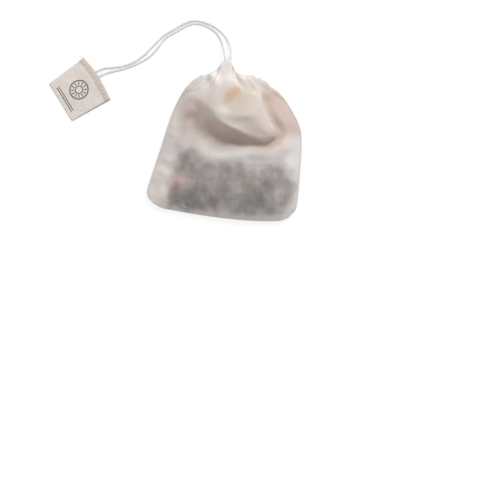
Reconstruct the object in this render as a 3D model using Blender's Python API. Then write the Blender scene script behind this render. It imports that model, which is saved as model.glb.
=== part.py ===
# A muslin tea bag with a drawstring and a cotton tag, lying on its back.
# Metres, +Z up. +X is to the right and +Y towards the mouth, seen from above.

import math

import bmesh
import bpy
import numpy as np

for old in list(bpy.data.objects):
    bpy.data.objects.remove(old, do_unlink=True)

MM = 0.001

# The muslin and its sewn edges
CLOTH = 0.4 * MM
SEAM_HEIGHT = 1.3 * MM
SEAM_LIFT = 2.6 * MM
BOTTOM_LIFT = 1.1 * MM

# The hem, turned in to carry the cord
HEM_HEIGHT = 7.2 * MM
HEM_FOLD = 2.5 * MM
HEM_SHARE = 0.085
MOUTH_BUNCH = 1.5 * MM
PLEAT_RISE = 1.3 * MM
PLEATS = 6.5
PLEAT_SHARE = 0.24

# How far the front stands up from its seams, down the middle of the bag
LOBE_FULLNESS = 9.5 * MM
WAIST_FULLNESS = 8.0 * MM
TEA_FULLNESS = 8.4 * MM

# The big folds of the front
LOBE_RISE = 4.6 * MM
LOBE_OVERHANG = 1.5 * MM
CREASE_DEPTH = 5.4 * MM
RIDGE_RISE = 2.4 * MM
RIDGE_WIDTH = 4.6 * MM
WING_DIP = 1.8 * MM

# The tea
TEA_GAP = 0.5 * MM
TEA_RIM = 0.5 * MM

# The cord
CORD = 1.1 * MM

# The tag, one strip of cotton folded in two
TAG_CLOTH = 0.45 * MM
TAG_GAP = 0.35 * MM
TAG_LUMP = 1.6 * MM
TAG_CURL = 0.5 * MM

# How fine the meshes are
FRONT_COLUMNS = 37
BACK_STEP = 3
ARC_POINTS = 5
HEM_ROWS = 4
BODY_ROWS = 28
FOLD_ROWS = 3


# Curves through chosen points

def smooth_curve(points, steps=24):
    points = np.array(points, float)
    ends = np.vstack([2 * points[0] - points[1], points, 2 * points[-1] - points[-2]])
    run = []
    for before, here, after, beyond in zip(ends, ends[1:], ends[2:], ends[3:]):
        t = np.linspace(0, 1, steps, endpoint=False)[:, None]
        line = 2 * here + (after - before) * t
        line = line + (2 * before - 5 * here + 4 * after - beyond) * t**2
        line = line + (3 * here - before - 3 * after + beyond) * t**3
        run.append(line / 2)
    return np.vstack(run + [points[-1:]])


def along(curve, share):
    step = np.linalg.norm(np.diff(curve, axis=0), axis=1)
    run = np.concatenate([[0], np.cumsum(step)])
    at = np.asarray(share) * run[-1]
    return np.stack([np.interp(at, run, curve[:, k]) for k in range(curve.shape[1])], -1)


def height_curve(points):
    curve = smooth_curve(points)
    return lambda share: np.interp(share, curve[:, 0], curve[:, 1])


def smooth_step(value, low, high):
    t = np.clip((value - low) / (high - low), 0, 1)
    return t * t * (3 - 2 * t)


# The outline, seen from above

LEFT_SEAM = smooth_curve(
    np.array([(-12.6, 30.6), (-17.9, 27.1), (-21.1, 22.3), (-26.6, 10.9), (-31.4, -4.3),
              (-36.9, -20.6), (-38.5, -26.4), (-37.7, -29.5), (-35.8, -31.8)]) * MM)
RIGHT_SEAM = smooth_curve(
    np.array([(19.6, 29.6), (24.0, 26.0), (31.0, 18.0), (36.9, 7.1), (38.5, -1.6),
              (37.9, -14.0), (36.9, -27.0), (35.6, -35.0), (32.0, -39.2)]) * MM)
BOTTOM_SEAM = smooth_curve(
    np.array([(-35.8, -31.8), (-31.4, -34.2), (-26.0, -35.3), (-17.9, -36.8),
              (-4.0, -38.9), (12.0, -40.5), (26.0, -40.8), (32.0, -39.2)]) * MM)
FRONT_HEM = smooth_curve(
    np.array([(-9.6, 30.3), (-7.0, 31.2), (-4.3, 33.0), (-1.9, 35.3), (-0.3, 38.4),
              (1.5, 39.3), (3.4, 38.6), (4.5, 35.4), (6.2, 32.0), (9.0, 30.6),
              (12.0, 29.9), (14.2, 30.2), (16.6, 28.6)]) * MM)
BACK_HEM = smooth_curve(
    np.array([(-9.6, 30.3), (-3.0, 32.0), (1.5, 36.0), (6.2, 31.8), (16.6, 28.6)]) * MM)

# The lines that the big folds follow, each with its half width there

LOBE_EDGE = smooth_curve(
    np.array([(-17.0, 21.0, 5.0), (-7.4, 14.4, 3.4), (1.6, 8.0, 2.4), (12.0, 2.2, 2.1),
              (20.0, -0.6, 2.8), (25.2, 0.6, 4.2), (27.0, 4.8, 4.2), (24.4, 10.2, 3.4),
              (20.6, 16.3, 3.0), (18.9, 22.6, 3.0), (18.0, 28.0, 3.0)]) * MM)
CREASE = smooth_curve(
    np.array([(-23.0, 16.0, 4.0), (-14.0, 11.6, 5.0), (-6.0, 7.6, 5.4), (2.0, 3.2, 5.0),
              (11.0, -1.0, 3.8), (19.5, -3.2, 2.8), (26.5, -1.8, 2.2),
              (31.5, 3.0, 1.8)]) * MM)
RIDGE = smooth_curve(
    np.array([(-29.0, 6.6), (-22.0, 5.6), (-12.0, 2.2), (1.0, -4.6), (14.0, -6.6),
              (27.0, -4.6), (37.0, 0.4)]) * MM)


def nearest(x, y, curve):
    gap = np.hypot(x[..., None] - curve[:, 0], y[..., None] - curve[:, 1])
    best = gap.argmin(-1)
    return np.take_along_axis(gap, best[..., None], -1)[..., 0], best


def stroke(x, y, curve, width=None):
    gap, best = nearest(x, y, curve)
    width = curve[best, 2] if width is None else width
    share = best / (len(curve) - 1)
    fade = smooth_step(share, 0, 0.12) * (1 - smooth_step(share, 0.9, 1))
    return np.exp(-((gap / width) ** 2)) * fade


def lobe_side(x, y):
    """How far inside the edge of the lobe, and which way is out."""
    gap, best = nearest(x, y, LOBE_EDGE)
    run = np.gradient(LOBE_EDGE[:, :2], axis=0)
    run /= np.linalg.norm(run, axis=1)[:, None]
    out = np.stack([run[:, 1], -run[:, 0]], 1)[best]
    away = (x - LOBE_EDGE[best, 0]) * out[..., 0] + (y - LOBE_EDGE[best, 1]) * out[..., 1]
    return np.where(away > 0, -gap, gap), out, LOBE_EDGE[best, 2]


# The two panels, as functions of the share across (left to right) and down (mouth to bottom)

def edge_radius(down):
    hem = 1 - smooth_step(down, HEM_SHARE, 2.6 * HEM_SHARE)
    return SEAM_HEIGHT / 2 + (HEM_HEIGHT - SEAM_HEIGHT) / 2 * hem


SEAM_MIDDLE = height_curve([(0, HEM_HEIGHT / 2), (HEM_SHARE, HEM_HEIGHT / 2),
                            (0.3, SEAM_LIFT + SEAM_HEIGHT / 2),
                            (0.7, SEAM_LIFT + SEAM_HEIGHT / 2),
                            (1, BOTTOM_LIFT + SEAM_HEIGHT / 2)])
FULLNESS = height_curve([(0, 0), (HEM_SHARE, 0.3 * MM), (0.2, 0.62 * LOBE_FULLNESS),
                         (0.34, LOBE_FULLNESS), (0.5, WAIST_FULLNESS), (0.68, TEA_FULLNESS),
                         (0.82, 0.86 * TEA_FULLNESS), (0.93, 0.5 * TEA_FULLNESS),
                         (0.98, 0.22 * TEA_FULLNESS), (1, 0)])


def seam_points(curve, down, inward):
    """A seam, drawn in by the radius of the edge."""
    point = along(curve, down)
    run = along(curve, np.clip(down + 0.01, 0, 1)) - along(curve, np.clip(down - 0.01, 0, 1))
    run /= np.linalg.norm(run, axis=-1)[..., None]
    side = np.stack([-run[..., 1], run[..., 0]], -1) * inward
    level = smooth_step(down, -0.6 * HEM_SHARE, 0.9 * HEM_SHARE)[..., None]
    side = side * level + np.array([inward, 0]) * (1 - level)
    side /= np.linalg.norm(side, axis=-1)[..., None]
    corner = 1 - 0.7 * smooth_step(down, 0.95, 1)
    return point + side * (edge_radius(down) * corner)[..., None], -side


def panel(across, down, hem):
    """Fills the outline between the hem, the two seams and the bottom."""
    a = across[..., None]
    d = down[..., None]
    left = seam_points(LEFT_SEAM, down, 1)[0]
    right = seam_points(RIGHT_SEAM, down, -1)[0]
    top_left = seam_points(LEFT_SEAM, np.zeros(1), 1)[0][0]
    top_right = seam_points(RIGHT_SEAM, np.zeros(1), -1)[0][0]
    low_left = seam_points(LEFT_SEAM, np.ones(1), 1)[0][0]
    low_right = seam_points(RIGHT_SEAM, np.ones(1), -1)[0][0]
    top = along(hem, across)
    top = top + (1 - a) * (top_left - hem[0]) + a * (top_right - hem[-1])
    low = along(BOTTOM_SEAM, across)
    low = low + (1 - a) * (low_left - BOTTOM_SEAM[0]) + a * (low_right - BOTTOM_SEAM[-1])
    corners = (1 - d) * ((1 - a) * top_left + a * top_right)
    corners = corners + d * ((1 - a) * low_left + a * low_right)
    return (1 - d) * top + d * low + (1 - a) * left + a * right - corners


def pleats(across, down):
    wave = across + 0.03 * np.sin(9 * across + 0.6) + 0.02 * np.sin(23 * across)
    ridge = (0.5 + 0.5 * np.cos(2 * math.pi * PLEATS * wave + 1.0)) ** 1.3
    side = smooth_step(across, 0, 0.06) * (1 - smooth_step(across, 0.94, 1))
    return PLEAT_RISE * ridge * side * (1 - smooth_step(down, 0.3 * PLEAT_SHARE, PLEAT_SHARE))


def front(across, down):
    across = np.asarray(across, float)
    down = np.asarray(down, float)
    place = panel(across, down, FRONT_HEM)
    x, y = place[..., 0], place[..., 1]
    side = np.abs(2 * across - 1)
    pillow = np.where(across < 0.5, (1 - side**2.2) ** 0.9, (1 - side**2.8) ** 0.66)
    z = SEAM_MIDDLE(down) + edge_radius(down) + pillow * FULLNESS(down)
    free = smooth_step(down, HEM_SHARE, 0.26) * smooth_step(1 - side, 0, 0.16)
    inside, out, lip = lobe_side(x, y)
    lobe = smooth_step(inside / lip, -0.7, 1.3) * smooth_step(down, HEM_SHARE, 0.3)
    lobe = lobe * (0.25 + 0.75 * smooth_step(x, -17 * MM, 3 * MM))
    z = z + LOBE_RISE * lobe * smooth_step(1 - side, 0, 0.22)
    deep = 0.55 + 0.45 * smooth_step(x, -16 * MM, 6 * MM)
    deep = deep - 0.5 * smooth_step(x, 15 * MM, 28 * MM)
    z = z - CREASE_DEPTH * deep * stroke(x, y, CREASE) * free
    z = z + RIDGE_RISE * stroke(x, y, RIDGE, RIDGE_WIDTH) * free
    wing = np.exp(-(((inside + 3 * MM) / (2.6 * MM)) ** 2)) * smooth_step(x, 17 * MM, 24 * MM)
    z = z - WING_DIP * wing * free * smooth_step(y, 0, 8 * MM)
    z = z + pleats(across, down)
    push = np.exp(-(((inside - 1.2 * MM) / (2.2 * MM)) ** 2))
    push = push - 0.7 * np.exp(-(((inside + 2.4 * MM) / (2.0 * MM)) ** 2))
    low = smooth_step(x, -8 * MM, 2 * MM) * (1 - smooth_step(x, 14 * MM, 24 * MM))
    low = low * (1 - smooth_step(y, 10 * MM, 20 * MM))
    place = place + out * (LOBE_OVERHANG * push * low * free)[..., None]
    return np.concatenate([place, z[..., None]], -1)


def back(across, down):
    across = np.asarray(across, float)
    down = np.asarray(down, float)
    place = panel(across, down, BACK_HEM)
    side = smooth_step(np.abs(2 * across - 1), 0.72, 1)
    low = smooth_step(down, 0.88, 1)
    lift = 1 - (1 - side) * (1 - low)
    z = (SEAM_MIDDLE(down) - edge_radius(down)) * lift
    return np.concatenate([place, z[..., None]], -1)


def sheet_mesh(name, rows, faces):
    mesh = bpy.data.meshes.new(name)
    mesh.from_pydata([tuple(p) for p in rows], [], [tuple(int(i) for i in f) for f in faces])
    mesh.validate()
    obj = bpy.data.objects.new(name, mesh)
    bpy.context.scene.collection.objects.link(obj)
    return obj


def make_material(name, colour, roughness):
    material = bpy.data.materials.new(name)
    material.use_nodes = True
    shader = material.node_tree.nodes["Principled BSDF"]
    shader.inputs["Base Color"].default_value = (*colour, 1)
    shader.inputs["Roughness"].default_value = roughness
    shader.inputs["Metallic"].default_value = 0
    return material


def finish(obj, material):
    obj.data.materials.append(material)
    for face in obj.data.polygons:
        face.use_smooth = True
    return obj


# The pouch: one piece of muslin, its hem turned in and its bottom and sides sewn

def pouch_ring(down):
    """One loop round the bag: the front, the right edge, the back and the left edge."""
    u = np.linspace(0, 1, FRONT_COLUMNS)
    ub = u[::BACK_STEP]
    top = front(u, np.full(len(u), down))
    base = back(ub, np.full(len(ub), down))
    loops = []
    for curve, inward, edge in ((RIGHT_SEAM, -1, 1), (LEFT_SEAM, 1, 0)):
        at = np.array([down])
        centre, out = seam_points(curve, at, inward)
        radius = edge_radius(at)[0] * (1 - 0.7 * smooth_step(at, 0.95, 1)[0])
        height = (top[-edge, 2] + base[-edge, 2]) / 2
        tall = (top[-edge, 2] - base[-edge, 2]) / 2
        turn = np.linspace(0, math.pi, ARC_POINTS + 2)[1:-1]
        across = centre[0] + out[0] * radius * np.sin(turn)[:, None]
        loops.append(np.column_stack([across, height + tall * np.cos(turn)]))
    return np.vstack([top, loops[0], base[::-1], loops[1][::-1]])


def inward_of(ring):
    """The way into the hem at each point of a loop."""
    middle = HEM_HEIGHT / 2
    arc = slice(FRONT_COLUMNS, FRONT_COLUMNS + ARC_POINTS)
    way = np.zeros_like(ring)
    way[:, 2] = np.where(ring[:, 2] > middle, -1, 1)
    for part, end in ((arc, FRONT_COLUMNS - 1), (slice(-ARC_POINTS, None), 0)):
        centre = np.append(ring[end, :2], middle)
        toward = centre - ring[part]
        way[part] = toward / np.linalg.norm(toward, axis=1)[:, None]
    return way


def split(points, quad):
    """Two triangles along the shorter diagonal, which keeps a steep fold smooth."""
    a, b, c, d = quad
    if np.linalg.norm(points[a] - points[c]) < np.linalg.norm(points[b] - points[d]):
        return [(a, b, c), (a, c, d)]
    return [(a, b, d), (b, c, d)]


def mouth_bunch(count):
    """How far the turned-in cloth of front and back swells into the mouth, turn about."""
    bunch = np.zeros(count)
    u = np.linspace(0, 1, FRONT_COLUMNS)
    ends = smooth_step(u, 0.04, 0.14) * (1 - smooth_step(u, 0.86, 0.96))
    wave = 0.5 + 0.5 * np.cos(2 * math.pi * PLEATS * u)
    bunch[:FRONT_COLUMNS] = MOUTH_BUNCH * wave * ends
    under = (MOUTH_BUNCH * (1 - wave) * ends)[::BACK_STEP][::-1]
    first = FRONT_COLUMNS + ARC_POINTS
    bunch[first:first + len(under)] = under
    return bunch


def make_pouch():
    hem_rows = np.linspace(0, HEM_SHARE, HEM_ROWS)
    body_rows = np.linspace(HEM_SHARE, 1, BODY_ROWS + 1)[1:]
    outer = [pouch_ring(down) for down in np.concatenate([hem_rows, body_rows])]
    inner = []
    bunch = mouth_bunch(len(outer[0]))
    for ring in outer[:HEM_ROWS]:
        flat = ring.copy()
        front_part = slice(0, FRONT_COLUMNS)
        flat[front_part, 2] = HEM_HEIGHT
        inner.append(flat + inward_of(ring) * (HEM_FOLD + bunch[:, None]))
    inner.reverse()
    first, last = outer[0], inner[-1]
    up = np.array([0, 1, 0])
    folds = []
    for turn in np.linspace(0, math.pi, FOLD_ROWS + 2)[1:-1]:
        middle = (first + last) / 2
        folds.append(middle + (last - first) / 2 * math.cos(turn) + up * HEM_FOLD / 2 * math.sin(turn))
    rings = inner + folds + outer
    count = len(rings[0])
    fold_top = len(inner) + len(folds)
    exit_columns = [k for k in range(FRONT_COLUMNS - 1)
                    if -1.4 * MM < (first[k, 0] + first[k + 1, 0]) / 2 < 4.6 * MM
                    and first[k, 1] > 33 * MM]
    points = np.vstack(rings)
    faces = []
    for j in range(len(rings) - 1):
        for k in range(count):
            if j < fold_top and k in exit_columns:
                continue
            after = (k + 1) % count
            faces += split(points, (j * count + k, (j + 1) * count + k,
                                    (j + 1) * count + after, j * count + after))
    base = (len(rings) - 1) * count
    backs = list(range(count - ARC_POINTS - 1, FRONT_COLUMNS + ARC_POINTS - 1, -1))
    for b in range(len(backs) - 1):
        fronts = range(BACK_STEP * (b + 1), BACK_STEP * b - 1, -1)
        faces.append([base + backs[b], base + backs[b + 1]] + [base + k for k in fronts])
    left_arc = range(count - 1, count - ARC_POINTS - 1, -1)
    faces.append([base] + [base + k for k in left_arc] + [base + backs[0]])
    right_arc = range(FRONT_COLUMNS + ARC_POINTS - 1, FRONT_COLUMNS - 1, -1)
    faces.append([base + backs[-1]] + [base + k for k in right_arc] + [base + FRONT_COLUMNS - 1])
    pouch = sheet_mesh("muslin_pouch", points, faces)
    shape = bmesh.new()
    shape.from_mesh(pouch.data)
    loose = [v for v in shape.verts if not v.link_faces]
    bmesh.ops.delete(shape, geom=loose, context="VERTS")
    shape.to_mesh(pouch.data)
    shape.free()
    wall = pouch.modifiers.new("wall", "SOLIDIFY")
    wall.thickness = CLOTH
    wall.offset = -1
    wall.use_even_offset = False
    wall.use_rim = True
    return finish(pouch, make_material("undyed muslin", (0.78, 0.72, 0.66), 0.9))


# The tea, which fills the lower half of the bag

def make_tea():
    columns, rows = 27, 17
    a, b = np.meshgrid(np.linspace(-1, 1, columns), np.linspace(-1, 1, rows))
    round_a = a * np.sqrt(1 - 0.34 * b**2)
    round_b = b * np.sqrt(1 - 0.34 * a**2)
    across = 0.545 + 0.385 * round_a
    upper = 0.56 + 0.03 * np.cos(3 * across + 0.6)
    down = upper + (0.965 - upper) * (round_b + 1) / 2
    step = 0.004
    top = front(across, down)
    toward = np.cross(front(across, down + step) - front(across, down - step),
                      front(across + step, down) - front(across - step, down))
    toward /= np.linalg.norm(toward, axis=-1)[..., None]
    top = top - toward * (CLOTH + TEA_GAP)
    low = back(across, down)
    low[..., :2] = top[..., :2]
    low[..., 2] += CLOTH + TEA_GAP
    middle = (top + low) / 2
    rim = np.maximum(np.abs(a), np.abs(b))
    swell = np.sqrt(np.clip(1 - rim**5, 0, 1))
    half = (top[..., 2] - low[..., 2]) / 2
    half = TEA_RIM / 2 + np.maximum(half - TEA_RIM / 2, 0.2 * MM) * swell
    top[..., 2] = middle[..., 2] + half
    low[..., 2] = middle[..., 2] - half
    count = columns * rows
    points = np.vstack([top.reshape(-1, 3), low.reshape(-1, 3)])
    faces = []
    for j in range(rows - 1):
        for i in range(columns - 1):
            k = j * columns + i
            faces.append((k, k + columns, k + columns + 1, k + 1))
            faces.append((count + k, count + k + 1, count + k + columns + 1, count + k + columns))
    border = [(0, i) for i in range(columns)] + [(j, columns - 1) for j in range(1, rows)]
    border += [(rows - 1, i) for i in range(columns - 2, -1, -1)]
    border += [(j, 0) for j in range(rows - 2, 0, -1)]
    for here, after in zip(border, border[1:] + border[:1]):
        p = here[0] * columns + here[1]
        q = after[0] * columns + after[1]
        faces.append((p, q, count + q, count + p))
    tea = sheet_mesh("tea_leaves", points, faces)
    return finish(tea, make_material("dried leaves", (0.09, 0.06, 0.04), 0.85))


# The cord: from the tag to the mouth, round inside the hem and back to the tag

UPPER_STRAND = [(-67.4, 31.3, 1.4), (-64.3, 33.3, 1.35), (-60.4, 35.4, 0.7), (-55.4, 36.0, 0.57),
                (-50.5, 36.7, 0.57), (-45.0, 39.0, 0.57), (-39.6, 42.9, 0.57),
                (-34.3, 48.1, 0.57), (-29.9, 52.4, 0.57), (-24.6, 55.3, 0.57),
                (-19.8, 58.2, 0.57), (-15.6, 59.5, 0.57), (-11.6, 59.0, 0.57),
                (-7.2, 57.5, 0.57), (-3.5, 55.4, 0.57), (-0.2, 52.5, 0.6), (2.4, 48.2, 1.2),
                (3.4, 43.6, 3.6), (3.1, 39.8, 5.9), (2.9, 36.2, 5.95), (3.9, 32.6, 5.95),
                (6.0, 30.0, 5.95)]
LOWER_STRAND = [(-2.6, 30.6, 5.95), (-0.4, 33.2, 5.95), (0.5, 36.4, 5.95), (0.4, 39.8, 5.9),
                (-0.1, 43.4, 3.6), (-0.8, 47.0, 1.2), (-1.9, 50.4, 0.6),
                (-4.2, 53.6, 0.57), (-7.5, 56.0, 0.57), (-11.2, 57.5, 0.57), (-15.2, 58.0, 0.57),
                (-19.0, 56.8, 0.57), (-23.8, 54.0, 0.57), (-28.6, 51.2, 0.57),
                (-32.2, 46.6, 0.57), (-36.6, 41.8, 0.57), (-43.3, 37.9, 0.57),
                (-50.3, 35.2, 0.57), (-57.6, 33.3, 0.7), (-62.4, 31.2, 1.35), (-65.8, 28.9, 1.4)]


def cord_in_hem():
    """Once round the bag in the middle of the hem, from one side of the exit to the other."""
    depth = 0.5 * HEM_SHARE
    high, low = HEM_HEIGHT - HEM_FOLD / 2, HEM_FOLD / 2
    runs = []
    for share, hem, height in ((np.linspace(0.68, 0.97, 5), FRONT_HEM, high),
                               (np.linspace(0.96, 0.04, 7), BACK_HEM, low),
                               (np.linspace(0.03, 0.22, 4), FRONT_HEM, high)):
        place = panel(share, np.full(len(share), depth), hem)
        runs.append(np.column_stack([place, np.full(len(share), height)]))
    ends = []
    for curve, inward in ((RIGHT_SEAM, -1), (LEFT_SEAM, 1)):
        centre, out = seam_points(curve, np.array([depth]), inward)
        reach = (HEM_HEIGHT - HEM_FOLD) / 2 - 0.05 * MM
        turn = np.linspace(0, math.pi, 7)[1:-1] * -inward
        across = centre[0] + out[0] * reach * np.abs(np.sin(turn))[:, None]
        ends.append(np.column_stack([across, HEM_HEIGHT / 2 - inward * reach * np.cos(turn)]))
    return np.vstack([runs[0], ends[0], runs[1], ends[1], runs[2]])


def bend_points(route, count):
    """Points along a route, closer together where it bends."""
    leg = np.diff(route, axis=0)
    step = np.linalg.norm(leg, axis=1)
    way = leg / step[:, None]
    turn = np.arccos(np.clip((way[1:] * way[:-1]).sum(1), -1, 1))
    cost = step / (4.4 * MM) + np.concatenate([[0], turn]) / math.radians(24)
    run = np.concatenate([[0], np.cumsum(cost)])
    at = np.linspace(0, run[-1], count)
    return np.stack([np.interp(at, run, route[:, k]) for k in range(3)], 1)


def make_cord():
    route = [np.array(UPPER_STRAND) * MM, cord_in_hem(), np.array(LOWER_STRAND) * MM]
    points = bend_points(smooth_curve(np.vstack(route)), 84)
    curve = bpy.data.curves.new("drawstring", "CURVE")
    curve.dimensions = "3D"
    curve.bevel_depth = CORD / 2
    curve.bevel_resolution = 2
    curve.use_fill_caps = True
    line = curve.splines.new("POLY")
    line.points.add(len(points) - 1)
    for place, point in zip(line.points, points):
        place.co = (*point, 1)
    cord = bpy.data.objects.new("drawstring", curve)
    bpy.context.scene.collection.objects.link(cord)
    curve.materials.append(make_material("cotton cord", (0.86, 0.85, 0.84), 0.85))
    return cord


# The tag: one strip of cotton folded in two, sewn over the ends of the cord

TAG_CORNERS = np.array([(-70.3, 40.2), (-57.0, 20.0), (-87.7, 27.3), (-76.3, 8.8)]) * MM


def tag_place(across, down):
    a, d = across[..., None], down[..., None]
    near = (1 - a) * TAG_CORNERS[0] + a * TAG_CORNERS[1]
    far = (1 - a) * TAG_CORNERS[2] + a * TAG_CORNERS[3]
    return (1 - d) * near + d * far


def tag_height(across, down):
    """The top face of the tag over its flat underside."""
    curl = TAG_CURL * np.sin(math.pi * across) * np.sin(math.pi * down) ** 2
    lump = TAG_LUMP * np.exp(-(((across - 0.43) / 0.19) ** 4)) * (1 - smooth_step(down, 0.22, 0.4))
    return 2 * TAG_CLOTH + TAG_GAP + lump + curl * 0.6


def make_tag():
    across = np.linspace(0, 1, 14)
    rows = []
    downs = np.linspace(0, 0.97, 11)
    for down in downs:
        d = np.full(len(across), down)
        rows.append(np.column_stack([tag_place(across, d), np.zeros(len(across))]))
    fold = TAG_CLOTH + TAG_GAP / 2
    way = tag_place(across, np.ones(len(across))) - tag_place(across, np.zeros(len(across)))
    way /= np.linalg.norm(way, axis=1)[:, None]
    edge = tag_place(across, np.full(len(across), 0.97))
    for turn in (0.25, 0.5, 0.75):
        bend = math.pi * turn
        rows.append(np.column_stack([edge + way * fold * math.sin(bend),
                                     np.full(len(across), fold * (1 - math.cos(bend)))]))
    for down in downs[::-1]:
        d = np.full(len(across), down)
        rows.append(np.column_stack([tag_place(across, d), tag_height(across, d)]))
    count = len(across)
    faces = []
    for j in range(len(rows) - 1):
        for i in range(count - 1):
            k = j * count + i
            faces.append((k, k + 1, k + count + 1, k + count))
    tag = sheet_mesh("cotton_tag", np.vstack(rows), faces)
    wall = tag.modifiers.new("wall", "SOLIDIFY")
    wall.thickness = TAG_CLOTH
    wall.offset = -1
    wall.use_even_offset = False
    return finish(tag, make_material("cotton tape", (0.72, 0.66, 0.60), 0.9))


make_pouch()
make_tea()
make_cord()
make_tag()
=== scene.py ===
import math

import bmesh
import bpy
import numpy as np
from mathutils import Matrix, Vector
from mathutils.bvhtree import BVHTree


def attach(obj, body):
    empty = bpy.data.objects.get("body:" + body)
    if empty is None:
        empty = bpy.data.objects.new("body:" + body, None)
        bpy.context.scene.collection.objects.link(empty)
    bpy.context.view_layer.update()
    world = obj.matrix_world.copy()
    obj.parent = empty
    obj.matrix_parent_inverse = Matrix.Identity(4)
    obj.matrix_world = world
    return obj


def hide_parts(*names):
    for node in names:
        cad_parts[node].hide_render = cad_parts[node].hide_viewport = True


mm = 0.001
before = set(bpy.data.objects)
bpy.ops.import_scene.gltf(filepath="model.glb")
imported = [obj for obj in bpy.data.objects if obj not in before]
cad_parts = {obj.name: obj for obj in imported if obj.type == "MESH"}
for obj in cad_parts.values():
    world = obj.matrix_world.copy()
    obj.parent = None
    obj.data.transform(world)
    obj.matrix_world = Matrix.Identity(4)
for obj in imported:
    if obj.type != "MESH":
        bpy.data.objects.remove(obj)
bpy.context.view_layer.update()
print("frame loaded")


# Shared helpers

def linear(hexColour):  # sRGB hex to the linear colour that a socket takes
    parts = [int(hexColour[i:i + 2], 16) / 255 for i in (1, 3, 5)]
    return tuple(p / 12.92 if p < 0.04045 else ((p + 0.055) / 1.055) ** 2.4 for p in parts) + (1.0,)


def newMaterial(name):
    material = bpy.data.materials.new(name)
    material.use_nodes = True
    return material, material.node_tree.nodes["Principled BSDF"]


def addNode(owner, kind, settings=None, links=None):  # for a material or the world
    tree = owner.node_tree
    node = tree.nodes.new("ShaderNode" + kind)
    for name, value in (settings or {}).items():
        setattr(node, name, value)
    for name, value in (links or {}).items():
        if isinstance(value, bpy.types.NodeSocket):
            tree.links.new(value, node.inputs[name])
        else:
            node.inputs[name].default_value = value
    return node.outputs


def link(owner, output, entry):
    owner.node_tree.links.new(output, entry)


def finishMaterial(material, shader, colour, height, strength, depth, roughness):
    link(material, colour, shader.inputs["Base Color"])
    bump = addNode(material, "Bump", {}, {"Height": height, "Strength": strength, "Distance": depth})
    link(material, bump["Normal"], shader.inputs["Normal"])
    shader.inputs["Roughness"].default_value = roughness


def plainWeave(material, part, threads):  # threads over and under each other, this many across the map
    bands = []
    for axis in ("X", "Y"):
        turn = addNode(material, "Math", {"operation": "MULTIPLY"}, {0: part[axis], 1: math.pi * threads})[0]
        wave = addNode(material, "Math", {"operation": "SINE"}, {0: turn})[0]
        bands.append(addNode(material, "Math", {"operation": "ABSOLUTE"}, {0: wave})[0])
    return addNode(material, "Math", {"operation": "MAXIMUM"}, {0: bands[0], 1: bands[1]})[0]


def smoothCurve(points, steps=24):  # Catmull-Rom, through every point
    points = np.array(points, float)
    ends = np.vstack([2 * points[0] - points[1], points, 2 * points[-1] - points[-2]])
    run = []
    for before, here, after, beyond in zip(ends, ends[1:], ends[2:], ends[3:]):
        t = np.linspace(0, 1, steps, endpoint=False)[:, None]
        line = 2 * here + (after - before) * t
        line = line + (2 * before - 5 * here + 4 * after - beyond) * t**2
        line = line + (3 * here - before - 3 * after + beyond) * t**3
        run.append(line / 2)
    return np.vstack(run + [points[-1:]])


def along(curve, share):
    step = np.linalg.norm(np.diff(curve, axis=0), axis=1)
    run = np.concatenate([[0], np.cumsum(step)])
    at = np.asarray(share) * run[-1]
    return np.stack([np.interp(at, run, curve[:, k]) for k in range(curve.shape[1])], -1)


def heightCurve(points):
    curve = smoothCurve(points)
    return lambda share: np.interp(share, curve[:, 0], curve[:, 1])


def smoothStep(value, low, high):
    t = np.clip((value - low) / (high - low), 0, 1)
    return t * t * (3 - 2 * t)


def ramp(value, low, high):  # the same, between two places in millimetres
    return smoothStep(value, low * mm, high * mm)


def band(value, middle, half):  # 1 at the middle and soft on both sides, in millimetres
    return np.exp(-(((value - middle * mm) / (half * mm)) ** 2))


def spot(x, y, across, up, wide):  # the same, round a place
    return np.exp(-((np.hypot(x - across * mm, y - up * mm) / (wide * mm)) ** 2))


def addGrid(mesh, columns, rows):  # a flat grid, and the column and row of each of its vertices
    verts = bmesh.ops.create_grid(mesh, x_segments=columns - 1, y_segments=rows - 1, size=0.5)["verts"]
    flat = np.array([v.co[:2] for v in verts]) + 0.5
    return verts, np.rint(flat * (columns - 1, rows - 1)).astype(int)


def layGrid(table, mesh, closed=False):  # a grid through a table of points, columns around
    rows, columns = table.shape[:2]
    verts, at = addGrid(mesh, columns + closed, rows)
    for vertex, (i, j) in zip(verts, at):
        vertex.co = table[j, i % columns]
    return verts, at


def mapGrid(faces, layer, spots, across, down):  # the map of a grid, from the places of its columns and rows
    for face in faces:
        for loop in face.loops:
            i, j = spots[loop.vert]
            loop[layer].uv = (across[i], down[j])


def addWall(obj, thickness):
    wall = obj.modifiers.new("wall", "SOLIDIFY")
    wall.thickness = thickness
    wall.offset = -1
    wall.use_even_offset = False


def putObject(mesh, name, material, smooth=True):
    data = bpy.data.meshes.new(name)
    mesh.to_mesh(data)
    mesh.free()
    data.materials.append(material)
    data.polygons.foreach_set("use_smooth", [smooth] * len(data.polygons))
    obj = bpy.data.objects.new(name, data)
    bpy.context.scene.collection.objects.link(obj)
    return obj


# Camera: straight down over the middle of the photograph's frame

view = {"lens": 85, "height": 590 * mm, "x": 12.75 * mm, "y": -55.5 * mm}


def makeCamera():
    lens = bpy.data.cameras.new("camera")
    lens.lens = view["lens"]
    lens.sensor_width = 36
    lens.clip_start = 0.01
    camera = bpy.data.objects.new("camera", lens)
    camera.location = (view["x"], view["y"], view["height"])
    bpy.context.scene.collection.objects.link(camera)
    bpy.context.scene.camera = camera


makeCamera()

# The form of the bag, as in its solids, with finer folds

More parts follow.
